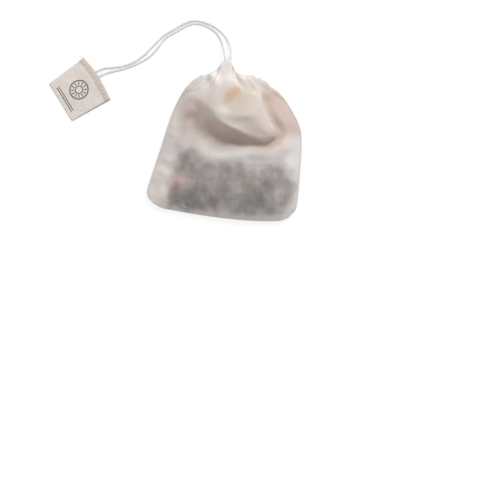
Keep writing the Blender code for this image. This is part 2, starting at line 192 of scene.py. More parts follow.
form = {
    "cloth": 0.4 * mm, "seamHeight": 1.3 * mm, "seamLift": 2.6 * mm, "bottomLift": 1.1 * mm,
    "bottomReach": 0.5 * mm, "hemHeight": 7.2 * mm, "hemFold": 2.5 * mm, "hemShare": 0.085,
    "mouthBunch": 1.5 * mm,
    "pleatRise": 1.3 * mm, "pleats": 6.5, "pleatShare": 0.24,
    "lobeFullness": 9.5 * mm, "waistFullness": 8.0 * mm, "teaFullness": 8.4 * mm,
    "lobeRise": 4.6 * mm, "lobeOverhang": 1.9 * mm, "creaseDepth": 4.8 * mm,
    "ridgeRise": 2.4 * mm, "ridgeWidth": 4.6 * mm,
    "lobeRound": 1.9 * mm, "roundReach": 6 * mm, "lipRoll": 0.5 * mm, "wingDip": 2.4 * mm,
    "gathers": 17, "gatherRise": 0.05 * mm, "gatherBlur": 1.6, "uneven": 0.15 * mm, "lumpSize": 9 * mm,
    # the rounded ends of the hem: places and how far each is moved, with their reach, in millimetres
    "shoulders": [(-13.0, 32.2, 0.6, -0.8), (19.4, 30.2, -0.9, -0.4), (24.2, 26.8, -0.6, -0.8)],
    "shoulderReach": 2.4,
}

leftSeam = smoothCurve(
    np.array([(-13.2, 31.0), (-17.5, 27.0), (-21.1, 22.3), (-26.6, 10.9), (-31.4, -4.3),
              (-36.9, -20.6), (-38.5, -26.4), (-37.7, -29.5), (-35.8, -31.8)]) * mm)
rightSeam = smoothCurve(
    np.array([(19.6, 29.6), (24.0, 26.0), (31.0, 18.0), (36.9, 7.1), (38.5, -1.6),
              (37.9, -14.0), (36.9, -27.0), (35.6, -35.0), (32.0, -39.2)]) * mm)
bottomSeam = smoothCurve(
    np.array([(-35.8, -31.8), (-31.4, -34.2), (-26.0, -35.3), (-17.9, -36.8),
              (-4.0, -38.9), (12.0, -40.5), (26.0, -40.8), (32.0, -39.2)]) * mm)
frontHem = smoothCurve(
    np.array([(-9.8, 30.9), (-7.2, 31.4), (-5.2, 32.5), (-3.4, 33.8), (-1.8, 35.6), (-0.8, 38.0),
              (1.5, 39.3), (3.4, 38.6), (4.5, 35.4), (6.2, 32.0), (9.0, 30.6),
              (12.0, 29.9), (14.2, 30.2), (16.6, 28.6)]) * mm)
backHem = smoothCurve(
    np.array([(-9.6, 30.3), (-3.0, 32.0), (1.5, 36.0), (6.2, 31.8), (16.6, 28.6)]) * mm)

# Lines that the big folds follow, each with its half width there
lobeEdge = smoothCurve(
    np.array([(-17.0, 19.4, 4.0), (-8.4, 12.0, 1.3), (0.4, 6.8, 1.0), (11.6, 1.4, 1.1),
              (18.5, -1.7, 1.2), (23.6, -1.2, 1.4), (25.0, 2.2, 1.3), (22.2, 7.0, 1.0),
              (19.7, 11.4, 0.9), (18.4, 16.4, 0.9), (17.6, 22.6, 1.1), (17.0, 28.0, 2.0)]) * mm)
crease = smoothCurve(
    np.array([(-23.0, 12.5, 4.6), (-17.5, 7.6, 5.8), (-12.0, 4.4, 6.6), (-5.0, 2.3, 6.2),
              (2.0, 0.3, 5.6), (9.0, -1.5, 4.5), (15.5, -2.9, 3.5), (21.0, -3.4, 2.6),
              (26.5, -1.4, 2.1), (30.5, 3.4, 1.7)]) * mm)
ridge = smoothCurve(
    np.array([(-30.0, 5.4), (-25.0, 3.6), (-20.0, -0.8), (-15.0, -6.0), (-9.0, -9.4), (-3.0, -10.0),
              (5.0, -9.2), (14.0, -7.6), (22.0, -6.4), (28.0, -4.8), (37.0, -0.6)]) * mm)

seamMiddle = heightCurve([(0, form["hemHeight"] / 2), (form["hemShare"], form["hemHeight"] / 2),
                          (0.3, form["seamLift"] + form["seamHeight"] / 2),
                          (0.7, form["seamLift"] + form["seamHeight"] / 2),
                          (1, form["bottomLift"] + form["seamHeight"] / 2)])
fullness = heightCurve([(0, 0), (form["hemShare"], 0.3 * mm), (0.2, 0.62 * form["lobeFullness"]),
                        (0.34, form["lobeFullness"]), (0.5, form["waistFullness"]),
                        (0.68, form["teaFullness"]), (0.82, 0.86 * form["teaFullness"]),
                        (0.93, 0.5 * form["teaFullness"]), (0.98, 0.22 * form["teaFullness"]),
                        (1, 0)])


def nearest(x, y, curve):
    gap = np.hypot(x[..., None] - curve[:, 0], y[..., None] - curve[:, 1])
    best = gap.argmin(-1)
    return np.take_along_axis(gap, best[..., None], -1)[..., 0], best


def stroke(x, y, curve, width=None):  # a soft line drawn along a curve, 1 on it
    gap, best = nearest(x, y, curve)
    width = curve[best, 2] if width is None else width
    share = best / (len(curve) - 1)
    fade = smoothStep(share, 0, 0.12) * (1 - smoothStep(share, 0.9, 1))
    return np.exp(-((gap / width) ** 2)) * fade


def lobeSide(x, y):  # how far inside the edge of the lobe, and which way is out
    gap, best = nearest(x, y, lobeEdge)
    run = np.gradient(lobeEdge[:, :2], axis=0)
    run /= np.linalg.norm(run, axis=1)[:, None]
    out = np.stack([run[:, 1], -run[:, 0]], 1)[best]
    away = (x - lobeEdge[best, 0]) * out[..., 0] + (y - lobeEdge[best, 1]) * out[..., 1]
    return np.where(away > 0, -gap, gap), out, lobeEdge[best, 2]


def edgeRadius(down):
    hem = 1 - smoothStep(down, form["hemShare"], 2.6 * form["hemShare"])
    return form["seamHeight"] / 2 + (form["hemHeight"] - form["seamHeight"]) / 2 * hem


def seamPoints(curve, down, inward):
    point = along(curve, down)
    run = along(curve, np.clip(down + 0.01, 0, 1)) - along(curve, np.clip(down - 0.01, 0, 1))
    run /= np.linalg.norm(run, axis=-1)[..., None]
    side = np.stack([-run[..., 1], run[..., 0]], -1) * inward
    level = smoothStep(down, -0.6 * form["hemShare"], 0.9 * form["hemShare"])[..., None]
    side = side * level + np.array([inward, 0]) * (1 - level)
    side /= np.linalg.norm(side, axis=-1)[..., None]
    corner = 1 - 0.7 * smoothStep(down, 0.95, 1)
    return point + side * (edgeRadius(down) * corner)[..., None], -side


def panel(across, down, hem):  # fills the outline between the hem, the seams and the bottom
    a, d = across[..., None], down[..., None]
    left = seamPoints(leftSeam, down, 1)[0]
    right = seamPoints(rightSeam, down, -1)[0]
    topLeft = seamPoints(leftSeam, np.zeros(1), 1)[0][0]
    topRight = seamPoints(rightSeam, np.zeros(1), -1)[0][0]
    lowLeft = seamPoints(leftSeam, np.ones(1), 1)[0][0]
    lowRight = seamPoints(rightSeam, np.ones(1), -1)[0][0]
    top = along(hem, across)
    top = top + (1 - a) * (topLeft - hem[0]) + a * (topRight - hem[-1])
    low = along(bottomSeam, across)
    low = low + (1 - a) * (lowLeft - bottomSeam[0]) + a * (lowRight - bottomSeam[-1])
    corners = (1 - d) * ((1 - a) * topLeft + a * topRight)
    corners = corners + d * ((1 - a) * lowLeft + a * lowRight)
    return (1 - d) * top + d * low + (1 - a) * left + a * right - corners


def pleats(across, down):
    wave = across + 0.03 * np.sin(9 * across + 0.6) + 0.02 * np.sin(23 * across)
    rise = (0.5 + 0.5 * np.cos(2 * math.pi * form["pleats"] * wave + 1.0)) ** 1.3
    side = smoothStep(across, 0, 0.06) * (1 - smoothStep(across, 0.94, 1))
    share = form["pleatShare"]
    return form["pleatRise"] * rise * side * (1 - smoothStep(down, 0.3 * share, share))


# Small folds, each a line with its half width and height in millimetres: in the lobe, then as marked
smallFolds = [
    ([(-11, 15.5), (-6, 12.8), (0, 10.9), (6, 9.4), (11, 9.6), (15, 12), (18.5, 16.4)], 1.7, 0.7),
    ([(-3, 19.5), (3, 18.2), (8, 17.6), (14, 18)], 2.2, -0.3),
    ([(-14.5, 29), (-12.4, 27.2), (-11.4, 23)], 2.2, 0.9),  # humps and hollows beside the gathers
    ([(-10.4, 31), (-8.4, 28), (-6.2, 24)], 1.4, -0.9),
    ([(-7.4, 31.4), (-5.0, 28.4), (-1.5, 24.4)], 1.5, 1.0),
    ([(-8.2, 35), (-6.4, 30.4), (-4.2, 25)], 2.0, 0.5),
    ([(-4.0, 36), (-2.8, 32), (-0.4, 27)], 1.3, -0.7),
    ([(4.4, 35), (5.6, 30.4), (7.4, 26.4)], 0.9, -0.6),
    ([(6.8, 33.6), (8.4, 30.0), (11.0, 26.2)], 1.6, 0.9),
    ([(10.5, 30), (11.6, 27), (12, 22)], 1.9, 0.5),
    ([(-31, 6.6), (-27.5, 6.4), (-24, 7.4)], 1.5, 0.35),  # wrinkles by the left seam
    ([(-32, 2.4), (-28, 2.2), (-22, 0.6)], 1.4, 0.35),
    ([(-34.5, -9.6), (-29, -10.4), (-25, -13)], 1.6, 0.35),
    ([(-36.5, -15.4), (-31.5, -16.4), (-27.5, -19.4)], 1.6, 0.35),
    ([(4, -11.6), (12, -13.2), (20, -13.2), (29, -11)], 1.1, 0.3),  # below the ridge
    ([(10, -14.4), (17, -16), (23, -16.2), (31, -13.8)], 1.3, 0.25),
]


def lumps(x, y, size, seed):  # smooth, seeded unevenness from crossing waves, about -1 to 1
    turns = np.random.default_rng(seed)
    total = np.zeros_like(x)
    for _ in range(9):
        way = turns.uniform(0, 2 * math.pi)
        wide = size * turns.uniform(0.7, 1.6)
        shift = turns.uniform(0, 2 * math.pi)
        total = total + np.sin((x * math.cos(way) + y * math.sin(way)) * 2 * math.pi / wide + shift)
    return total / 4


teaOutline = smoothCurve(
    np.array([(-25.4, -11.0), (-22.3, -6.8), (-18.2, -4.8), (-13.8, -5.8), (-9.8, -9.4), (-5.4, -10.8),
              (-1.4, -11.6), (6.8, -13.2), (16.0, -13.8), (26.0, -12.6), (33.0, -11.6), (35.6, -19.0),
              (34.6, -32.0), (29.0, -38.4), (10.0, -39.0), (-10.0, -37.4), (-27.4, -35.0),
              (-29.8, -29.0), (-29.0, -22.5), (-26.0, -17.0), (-25.4, -11.0)]) * mm)


def teaArea(x, y):  # 1 where tea lies behind the cloth
    turn = np.zeros_like(x)
    for here, there in zip(teaOutline, teaOutline[1:]):
        ax, ay, bx, by = here[0] - x, here[1] - y, there[0] - x, there[1] - y
        turn += np.arctan2(ax * by - ay * bx, ax * bx + ay * by)
    gap = nearest(x, y, teaOutline)[0]
    return smoothStep(np.where(np.abs(turn) > 3, gap, -gap), -1 * mm, 3.5 * mm)


def fineFolds(across, down, x, y):
    z = np.zeros_like(x)
    for points, width, rise in smallFolds:
        line = smoothCurve(np.array(points) * mm, 12)
        gap, best = nearest(x, y, line)
        share = best / (len(line) - 1)
        fade = smoothStep(share, 0, 0.3) * (1 - smoothStep(share, 0.7, 1))
        z = z + rise * mm * np.exp(-((gap / (width * mm)) ** 2)) * fade
    gathers = np.sin(2 * math.pi * (form["gathers"] * across + 0.6 * np.sin(11 * across + 1)))
    z = z + form["gatherRise"] * gathers * (1 - smoothStep(down, 0.03, 0.17))
    z = z + form["uneven"] * lumps(x, y, form["lumpSize"], 3)
    return z * smoothStep(1 - np.abs(2 * across - 1), 0, 0.08) * (1 - smoothStep(down, 0.95, 1))


def front(across, down):
    across, down = np.asarray(across, float), np.asarray(down, float)
    place = panel(across, down, frontHem)
    x, y = place[..., 0], place[..., 1]
    side = np.abs(2 * across - 1)
    pillow = np.where(across < 0.5, (1 - side**2.2) ** 0.9, (1 - side**2.8) ** 0.66)
    z = seamMiddle(down) + edgeRadius(down) + pillow * fullness(down)
    free = smoothStep(down, form["hemShare"], 0.26) * smoothStep(1 - side, 0, 0.16)
    inside, out, lip = lobeSide(x, y)

    # The lobe stands over the rest, rounded off below, with a rolled lip and a dip beside it on the right
    lobe = smoothStep(inside / lip, -0.6, 1.0) * smoothStep(down, form["hemShare"], 0.3)
    lobe = lobe * (0.3 + 0.7 * ramp(x, -20, -3))
    z = z + form["lobeRise"] * lobe * smoothStep(1 - side, 0, 0.22)
    low = (1 - ramp(y, 8, 17)) * ramp(x, 3, 12)
    z = z - form["lobeRound"] * (1 - np.clip(inside / form["roundReach"], 0, 1)) ** 2 * lobe * low
    right = ramp(x, 14.5, 18) * ramp(y, 0, 6)
    z = z + form["lipRoll"] * band(inside, 0.7, 0.9) * right * free
    z = z - form["wingDip"] * band(inside, -1.9, 2.8) * right * free

    # The crease under the lobe, shallower at both ends, and the ridge above the tea
    deep = 0.36 + 0.64 * ramp(x, -19, 3) - 0.62 * ramp(x, 5, 23)
    under = 1 - smoothStep(inside / lip, -0.4, 0.9) * ramp(x, -14, 0)
    z = z - form["creaseDepth"] * deep * stroke(x, y, crease) * free * under
    high = form["ridgeRise"] * (0.15 + 0.85 * ramp(x, -17, -3))
    z = z + high * stroke(x, y, ridge, form["ridgeWidth"]) * free

    # The small folds, and the belly of the lobe hanging over the crease
    soft = 1 - 0.7 * ramp(x, 0, 5) - 0.6 * (1 - ramp(x, -8, -3))
    z = z + pleats(across, down) * soft + fineFolds(across, down, x, y)
    push = band(inside, 1.2, 2.2) - 0.7 * band(inside, -2.4, 2.0)
    belly = ramp(x, -8, 2) * (1 - ramp(x, 11, 20)) * (1 - ramp(y, 10, 20))
    place = place + out * (form["lobeOverhang"] * push * belly * free)[..., None]
    return np.concatenate([place, z[..., None]], -1)


def back(across, down):
    across, down = np.asarray(across, float), np.asarray(down, float)
    place = panel(across, down, backHem)
    side = smoothStep(np.abs(2 * across - 1), 0.72, 1)
    low = smoothStep(down, 0.88, 1)
    lift = 1 - (1 - side) * (1 - low)
    z = (seamMiddle(down) - edgeRadius(down)) * lift
    return np.concatenate([place, z[..., None]], -1)


# The cord: soft cotton string of three plies, from the tag round the hem and back

cordSettings = {
    "diameter": 1.1 * mm, "fluff": 1.3 * mm, "layPitch": 4.6 * mm, "groove": 0.1,
    "around": 18, "step": 0.4 * mm, "mapLong": 300 * mm, "colour": "#e3e1e5", "shade": "#d9d7dc",
    "fibres": (40, 50 * mm),  # how many round the cord, and how long
    "glow": {"Sheen Weight": 1.0, "Sheen Roughness": 0.7,  # fuzz, and light that passes into the fibres
             "Subsurface Weight": 0.5, "Subsurface Radius": (1, 1, 1), "Subsurface Scale": 0.6 * mm},
}

upperStrand = [(-67.4, 31.3, 1.4), (-64.3, 33.2, 1.35), (-60.4, 35.0, 0.7), (-55.4, 35.6, 0.57),
               (-50.5, 36.3, 0.57), (-45.2, 38.3, 0.57), (-39.9, 42.0, 0.57),
               (-34.9, 47.0, 0.57), (-30.6, 51.3, 0.57), (-25.4, 54.5, 0.57),
               (-20.3, 57.4, 0.57), (-15.8, 58.9, 0.57), (-11.5, 58.5, 0.57),
               (-7.2, 57.0, 0.57), (-3.6, 54.9, 0.57), (-0.3, 51.9, 0.6), (2.2, 47.7, 1.2),
               (3.3, 43.3, 3.6), (3.1, 39.8, 5.9), (2.9, 36.2, 5.95), (3.9, 32.6, 5.95),
               (6.0, 30.0, 5.95)]
lowerStrand = [(-2.6, 30.6, 5.95), (-0.4, 33.2, 5.95), (0.5, 36.4, 5.95), (0.4, 39.8, 5.9),
               (-0.1, 43.4, 3.6), (-0.9, 46.8, 1.2), (-2.1, 50.0, 0.6),
               (-4.5, 53.2, 0.57), (-7.8, 55.6, 0.57), (-11.4, 57.1, 0.57), (-15.3, 57.5, 0.57),
               (-19.3, 56.2, 0.57), (-24.3, 53.3, 0.57), (-29.2, 50.4, 0.57),
               (-32.6, 46.2, 0.57), (-36.9, 41.4, 0.57), (-43.4, 37.5, 0.57),
               (-50.3, 34.9, 0.57), (-57.6, 33.1, 0.7), (-62.4, 31.1, 1.35), (-65.8, 28.9, 1.4)]


def cordInHem():  # once round the bag inside the hem
    depth = 0.5 * form["hemShare"]
    high, low = form["hemHeight"] - form["hemFold"] / 2, form["hemFold"] / 2
    runs = []
    for share, hem, height in ((np.linspace(0.68, 0.97, 5), frontHem, high),
                               (np.linspace(0.96, 0.04, 7), backHem, low),
                               (np.linspace(0.03, 0.22, 4), frontHem, high)):
        place = panel(share, np.full(len(share), depth), hem)
        runs.append(np.column_stack([place, np.full(len(share), height)]))
    ends = []
    for curve, inward in ((rightSeam, -1), (leftSeam, 1)):
        centre, out = seamPoints(curve, np.array([depth]), inward)
        reach = (form["hemHeight"] - form["hemFold"]) / 2 - 0.05 * mm
        turn = np.linspace(0, math.pi, 7)[1:-1] * -inward
        across = centre[0] + out[0] * reach * np.abs(np.sin(turn))[:, None]
        ends.append(np.column_stack([across, form["hemHeight"] / 2 - inward * reach * np.cos(turn)]))
    return np.vstack([runs[0], ends[0], runs[1], ends[1], runs[2]])


def cottonCordMaterial():
    # Soft-spun cotton string: matt and fuzzy, fine fibres winding round each ply.
    material, shader = newMaterial("soft spun cotton string")
    uv = addNode(material, "UVMap", {"uv_map": "cordUv"})["UV"]
    count, long = cordSettings["fibres"]
    stretch = (count, cordSettings["mapLong"] / long, 1)
    fibres = addNode(material, "TexNoise", {}, {
        "Vector": addNode(material, "Mapping", {}, {"Vector": uv, "Scale": stretch})["Vector"],
        "Scale": 1.0, "Detail": 3.0})["Fac"]
    tone = addNode(material, "MixRGB", {}, {
        "Fac": addNode(material, "MapRange", {}, {"Value": fibres, "From Min": 0.35, "From Max": 0.7})[0],
        "Color1": linear(cordSettings["shade"]), "Color2": linear(cordSettings["colour"])})[0]
    finishMaterial(material, shader, tone, fibres, 0.35, 0.1 * mm, 0.9)
    for name, value in cordSettings["glow"].items():
        shader.inputs[name].default_value = value
    return material


def sweep(mesh, layer, path, around, radiusAt, twist=0.0):
    # A grid rolled round the path, with the radius that radiusAt gives for each turn and length.
    run = np.concatenate([[0], np.cumsum(np.linalg.norm(np.diff(path, axis=0), axis=1))])
    way = np.gradient(path, axis=0)
    way /= np.linalg.norm(way, axis=1)[:, None]
    side = np.cross(way[0], (0, 0, 1.0))
    sides = []
    for w in way:  # carried along without turning about the path
        side = side - w * side.dot(w)
        side = side / np.linalg.norm(side)
        sides.append(side)
    sides = np.array(sides)[:, None]
    ups = np.cross(way, sides[:, 0])[:, None]
    turn = np.linspace(0, 2 * math.pi, around, endpoint=False)[None, :]
    radius = (radiusAt(turn, run[:, None]) * np.ones((len(path), around)))[..., None]
    turn = (turn + twist * run[:, None])[..., None]
    table = path[:, None] + (sides * np.cos(turn) + ups * np.sin(turn)) * radius
    verts, at = layGrid(table, mesh, closed=True)
    faces = {f for v in verts for f in v.link_faces}
    mapGrid(faces, layer, dict(zip(verts, at)), np.arange(around + 1) / around, run / cordSettings["mapLong"])


def closeTubes(mesh):
    bmesh.ops.remove_doubles(mesh, verts=mesh.verts, dist=1e-7)
    bmesh.ops.holes_fill(mesh, edges=[e for e in mesh.edges if e.is_boundary], sides=0)
    bmesh.ops.recalc_face_normals(mesh, faces=mesh.faces)


def makeCord():
    route = smoothCurve(np.vstack([np.array(upperStrand) * mm, cordInHem(), np.array(lowerStrand) * mm]))
    length = np.linalg.norm(np.diff(route, axis=0), axis=1).sum()
    path = along(route, np.linspace(0, 1, int(length / cordSettings["step"])))

    def threePlies(turn, run):  # shallow grooves between soft plies
        near = (turn + math.pi / 3) % (2 * math.pi / 3) - math.pi / 3
        return cordSettings["fluff"] / 2 * (1 - cordSettings["groove"] * (near / (math.pi / 3)) ** 2)

    mesh = bmesh.new()
    sweep(mesh, mesh.loops.layers.uv.new("cordUv"), path, cordSettings["around"], threePlies,
          2 * math.pi / cordSettings["layPitch"])
    closeTubes(mesh)
    cord = putObject(mesh, "cottonCord", cottonCordMaterial())
    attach(cord, "root")
    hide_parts("drawstring")
    print("cord made,", round(length / mm, 1), "mm")


makeCord()

# The pouch: one piece of muslin, turned in round the cord and sewn down the sides and bottom

pouchSettings = {
    "columns": 141, "arc": 9, "hemRows": 7, "bodyRows": 108, "foldRows": 5,
    "sheetWide": 80 * mm, "sheetLong": 190 * mm, "mapSize": 200 * mm,
    "slot": (-1.4 * mm, 4.6 * mm, 33 * mm),  # its left and right ends, and what it lies above
    "threadPitch": 0.7 * mm,  # real muslin has about 0.5 mm, drawn a little coarser to show
    "stitch": 2.4 * mm, "seamHalf": (0.16 * mm, 0.36 * mm), "stitchGap": (0.3 * mm, 0.45 * mm),
    "drift": 7 * mm, "slubWide": (1.2 * mm, 1.0 * mm), "slubLong": 9 * mm, "cloudSize": 12 * mm,
    # the wing and crease colours are painted shade beside and under the lobe, the rim colour a painted
    # highlight on its lower edge
    "cloth": "#e1dbd8", "seam": "#d5cdc7", "lobe": "#d0c6bf", "wing": "#ccb9b0", "crease": "#ccb9ae",
    "hem": "#dfd8d3", "rim": "#f3e9e3", "rimShare": 0.25, "behind": "#4f4744", "edgeShade": 0.07,
    # painted shade and painted highlights where the cloth folds and lies in layers, as soft spots: colour,
    # place, radius in millimetres and strength
    "paintedShadeAndHighlights": [
        ("#baa99b", 8.6, 18.4, 6.2, 0.7), ("#b5a297", -19.5, 16.5, 5, 0.65), ("#b9aaa0", -18, 10.5, 5, 0.45),
        ("#aa978c", -14.5, 11.5, 4.5, 0.65), ("#c3b4ac", 21.5, 25.5, 3.6, 0.8),
        ("#c3b7b0", -11, 19.5, 4.5, 0.5),
        ("#d6c3b5", 13, 5, 5, 0.5), ("#f0e6da", -32.5, -28, 7, 0.8), ("#c0b7b4", -26.5, -5, 8, 0.55),
        ("#b9a196", 25.8, -0.4, 4.6, 0.7), ("#cbbdb4", 19, 9, 3.5, 0.5), ("#f4ece7", 0.5, 13.2, 4.0, 0.55),
        ("#dcc8be", -10.5, 16.5, 3.8, 0.8), ("#b9afab", -15, 2.0, 6.8, 0.65), ("#cbc1ba", -12, 26, 4, 0.5),
        ("#f2ede9", 3.0, 38, 3.4, 0.8), ("#f6f0ec", 8.6, 30.4, 4.2, 0.6), ("#f6f0ec", -7.4, 30.6, 6.2, 0.75),
        ("#b3a39a", -6, 6, 3.5, 0.3), ("#bcb3b1", -4, -3, 4, 0.5), ("#f0ece8", 11, -6, 4.5, 0.45),
        ("#d3cdc9", 32.5, -2, 4, 0.6), ("#c9c2be", -33, -22, 4, 0.5), ("#b9aaa2", 26, 21, 4.5, 0.45),
        ("#bfafa6", 32, 4.5, 4, 0.65), ("#c9c0b9", -8.5, 27, 3.5, 0.6),
    ],
}

settling = {  # the cloth simulation, run at 50 times the size, where its forces behave
    "scale": 50, "steps": 18, "hold": 0.05, "edgeHold": 0.7, "lobeWide": 2.4 * mm, "cap": 1.2 * mm,
    "finest": 2.2,  # in rows and columns of the grid
    "cloth": {"quality": 5, "mass": 0.3, "vertex_group_mass": "hold", "pin_stiffness": 1.0,
              "tension_stiffness": 15, "compression_stiffness": 15, "shear_stiffness": 7.5,
              "bending_stiffness": 60, "shrink_min": -0.016},  # a little spare cloth, so that it buckles
}


def pouchRing(down):
    across = np.linspace(0, 1, pouchSettings["columns"])
    top = front(across, np.full(len(across), down))
    base = back(across, np.full(len(across), down))
    arcs = []
    for curve, inward, edge in ((rightSeam, -1, 1), (leftSeam, 1, 0)):
        at = np.array([down])
        centre, out = seamPoints(curve, at, inward)
        radius = edgeRadius(at)[0] * (1 - 0.7 * smoothStep(at, 0.95, 1)[0])
        height = (top[-edge, 2] + base[-edge, 2]) / 2
        tall = (top[-edge, 2] - base[-edge, 2]) / 2
        turn = np.linspace(0, math.pi, pouchSettings["arc"] + 2)[1:-1]
        bend = centre[0] + out[0] * radius * np.sin(turn)[:, None]
        arcs.append(np.column_stack([bend, height + tall * np.cos(turn)]))
    return np.vstack([top, arcs[0], base[::-1], arcs[1][::-1]])


def inwardOf(ring):  # the way into the hem at each point of a ring
    middle = form["hemHeight"] / 2
    columns, arc = pouchSettings["columns"], pouchSettings["arc"]
    way = np.zeros_like(ring)
    way[:, 2] = np.where(ring[:, 2] > middle, -1, 1)
    for part, end in ((slice(columns, columns + arc), columns - 1), (slice(-arc, None), 0)):
        toward = np.append(ring[end, :2], middle) - ring[part]
        way[part] = toward / np.linalg.norm(toward, axis=1)[:, None]
    return way


def mouthBunch(count):  # the turned-in cloth swells into the mouth, front and back turn about
    columns, arc = pouchSettings["columns"], pouchSettings["arc"]
    across = np.linspace(0, 1, columns)
    ends = smoothStep(across, 0.04, 0.14) * (1 - smoothStep(across, 0.86, 0.96))
    wave = 0.5 + 0.5 * np.cos(2 * math.pi * form["pleats"] * across)
    bunch = np.zeros(count)
    bunch[:columns] = form["mouthBunch"] * wave * ends
    bunch[columns + arc:2 * columns + arc] = (form["mouthBunch"] * (1 - wave) * ends)[::-1]
    return bunch


def blurGrid(values, radius):  # a soft blur over rows and columns
    reach = math.ceil(3 * radius)
    weight = np.exp(-0.5 * (np.arange(-reach, reach + 1) / radius) ** 2)
    weight /= weight.sum()
    for axis in (0, 1):
        values = np.apply_along_axis(
            lambda line: np.convolve(np.pad(line, reach, mode="edge"), weight, mode="valid"), axis, values)
    return values


def pouchRings():
    share = form["hemShare"]
    downs = np.concatenate([np.linspace(0, share, pouchSettings["hemRows"]),
                            np.linspace(share, 1, pouchSettings["bodyRows"] + 1)[1:]])
    outer = [pouchRing(down) for down in downs]
    bunch = mouthBunch(len(outer[0]))
    inner = []
    for ring in outer[:pouchSettings["hemRows"]]:
        flat = ring.copy()
        flat[:pouchSettings["columns"], 2] = form["hemHeight"]
        inner.append(flat + inwardOf(ring) * (form["hemFold"] + bunch[:, None]))
    inner.reverse()
    first, last = outer[0], inner[-1]
    folds = []
    for turn in np.linspace(0, math.pi, pouchSettings["foldRows"] + 2)[1:-1]:
        middle = (first + last) / 2
        folds.append(middle + (last - first) / 2 * math.cos(turn)
                     + np.array([0, 1, 0]) * form["hemFold"] / 2 * math.sin(turn))
    end = outer[-1]
    middle = form["bottomLift"] + form["seamHeight"] / 2
    closing = []
    for turn in (30, 60, 90):  # the bottom seam, rounded over and closed
        ring = end.copy()
        ring[:, 2] = middle + (end[:, 2] - middle) * math.cos(math.radians(turn))
        ring[:, 1] -= form["bottomReach"] * math.sin(math.radians(turn))
        closing.append(ring)
    downs = np.concatenate([downs[:pouchSettings["hemRows"]][::-1], np.zeros(len(folds)), downs, [1, 1, 1]])
    table, start = np.array(inner + folds + outer + closing), len(inner) + len(folds)
    for x, y, across, up in form["shoulders"]:
        near = spot(table[..., 0], table[..., 1], x, y, form["shoulderReach"])
        table[..., :2] += near[..., None] * np.array([across, up]) * mm
    face = table[start:, :pouchSettings["columns"]]  # gathers in soft cloth have no sharp folds
    level = downs[start:, None]
    soft = smoothStep(level, 0.01, 0.06) * (1 - smoothStep(level, 0.3, 0.42))
    soft = soft * smoothStep(1 - np.abs(2 * np.linspace(0, 1, face.shape[1]) - 1), 0, 0.05)
    blurred = np.stack([blurGrid(face[..., k], form["gatherBlur"]) for k in range(3)], -1)
    face += (blurred - face) * soft[..., None]
    return table, start, downs


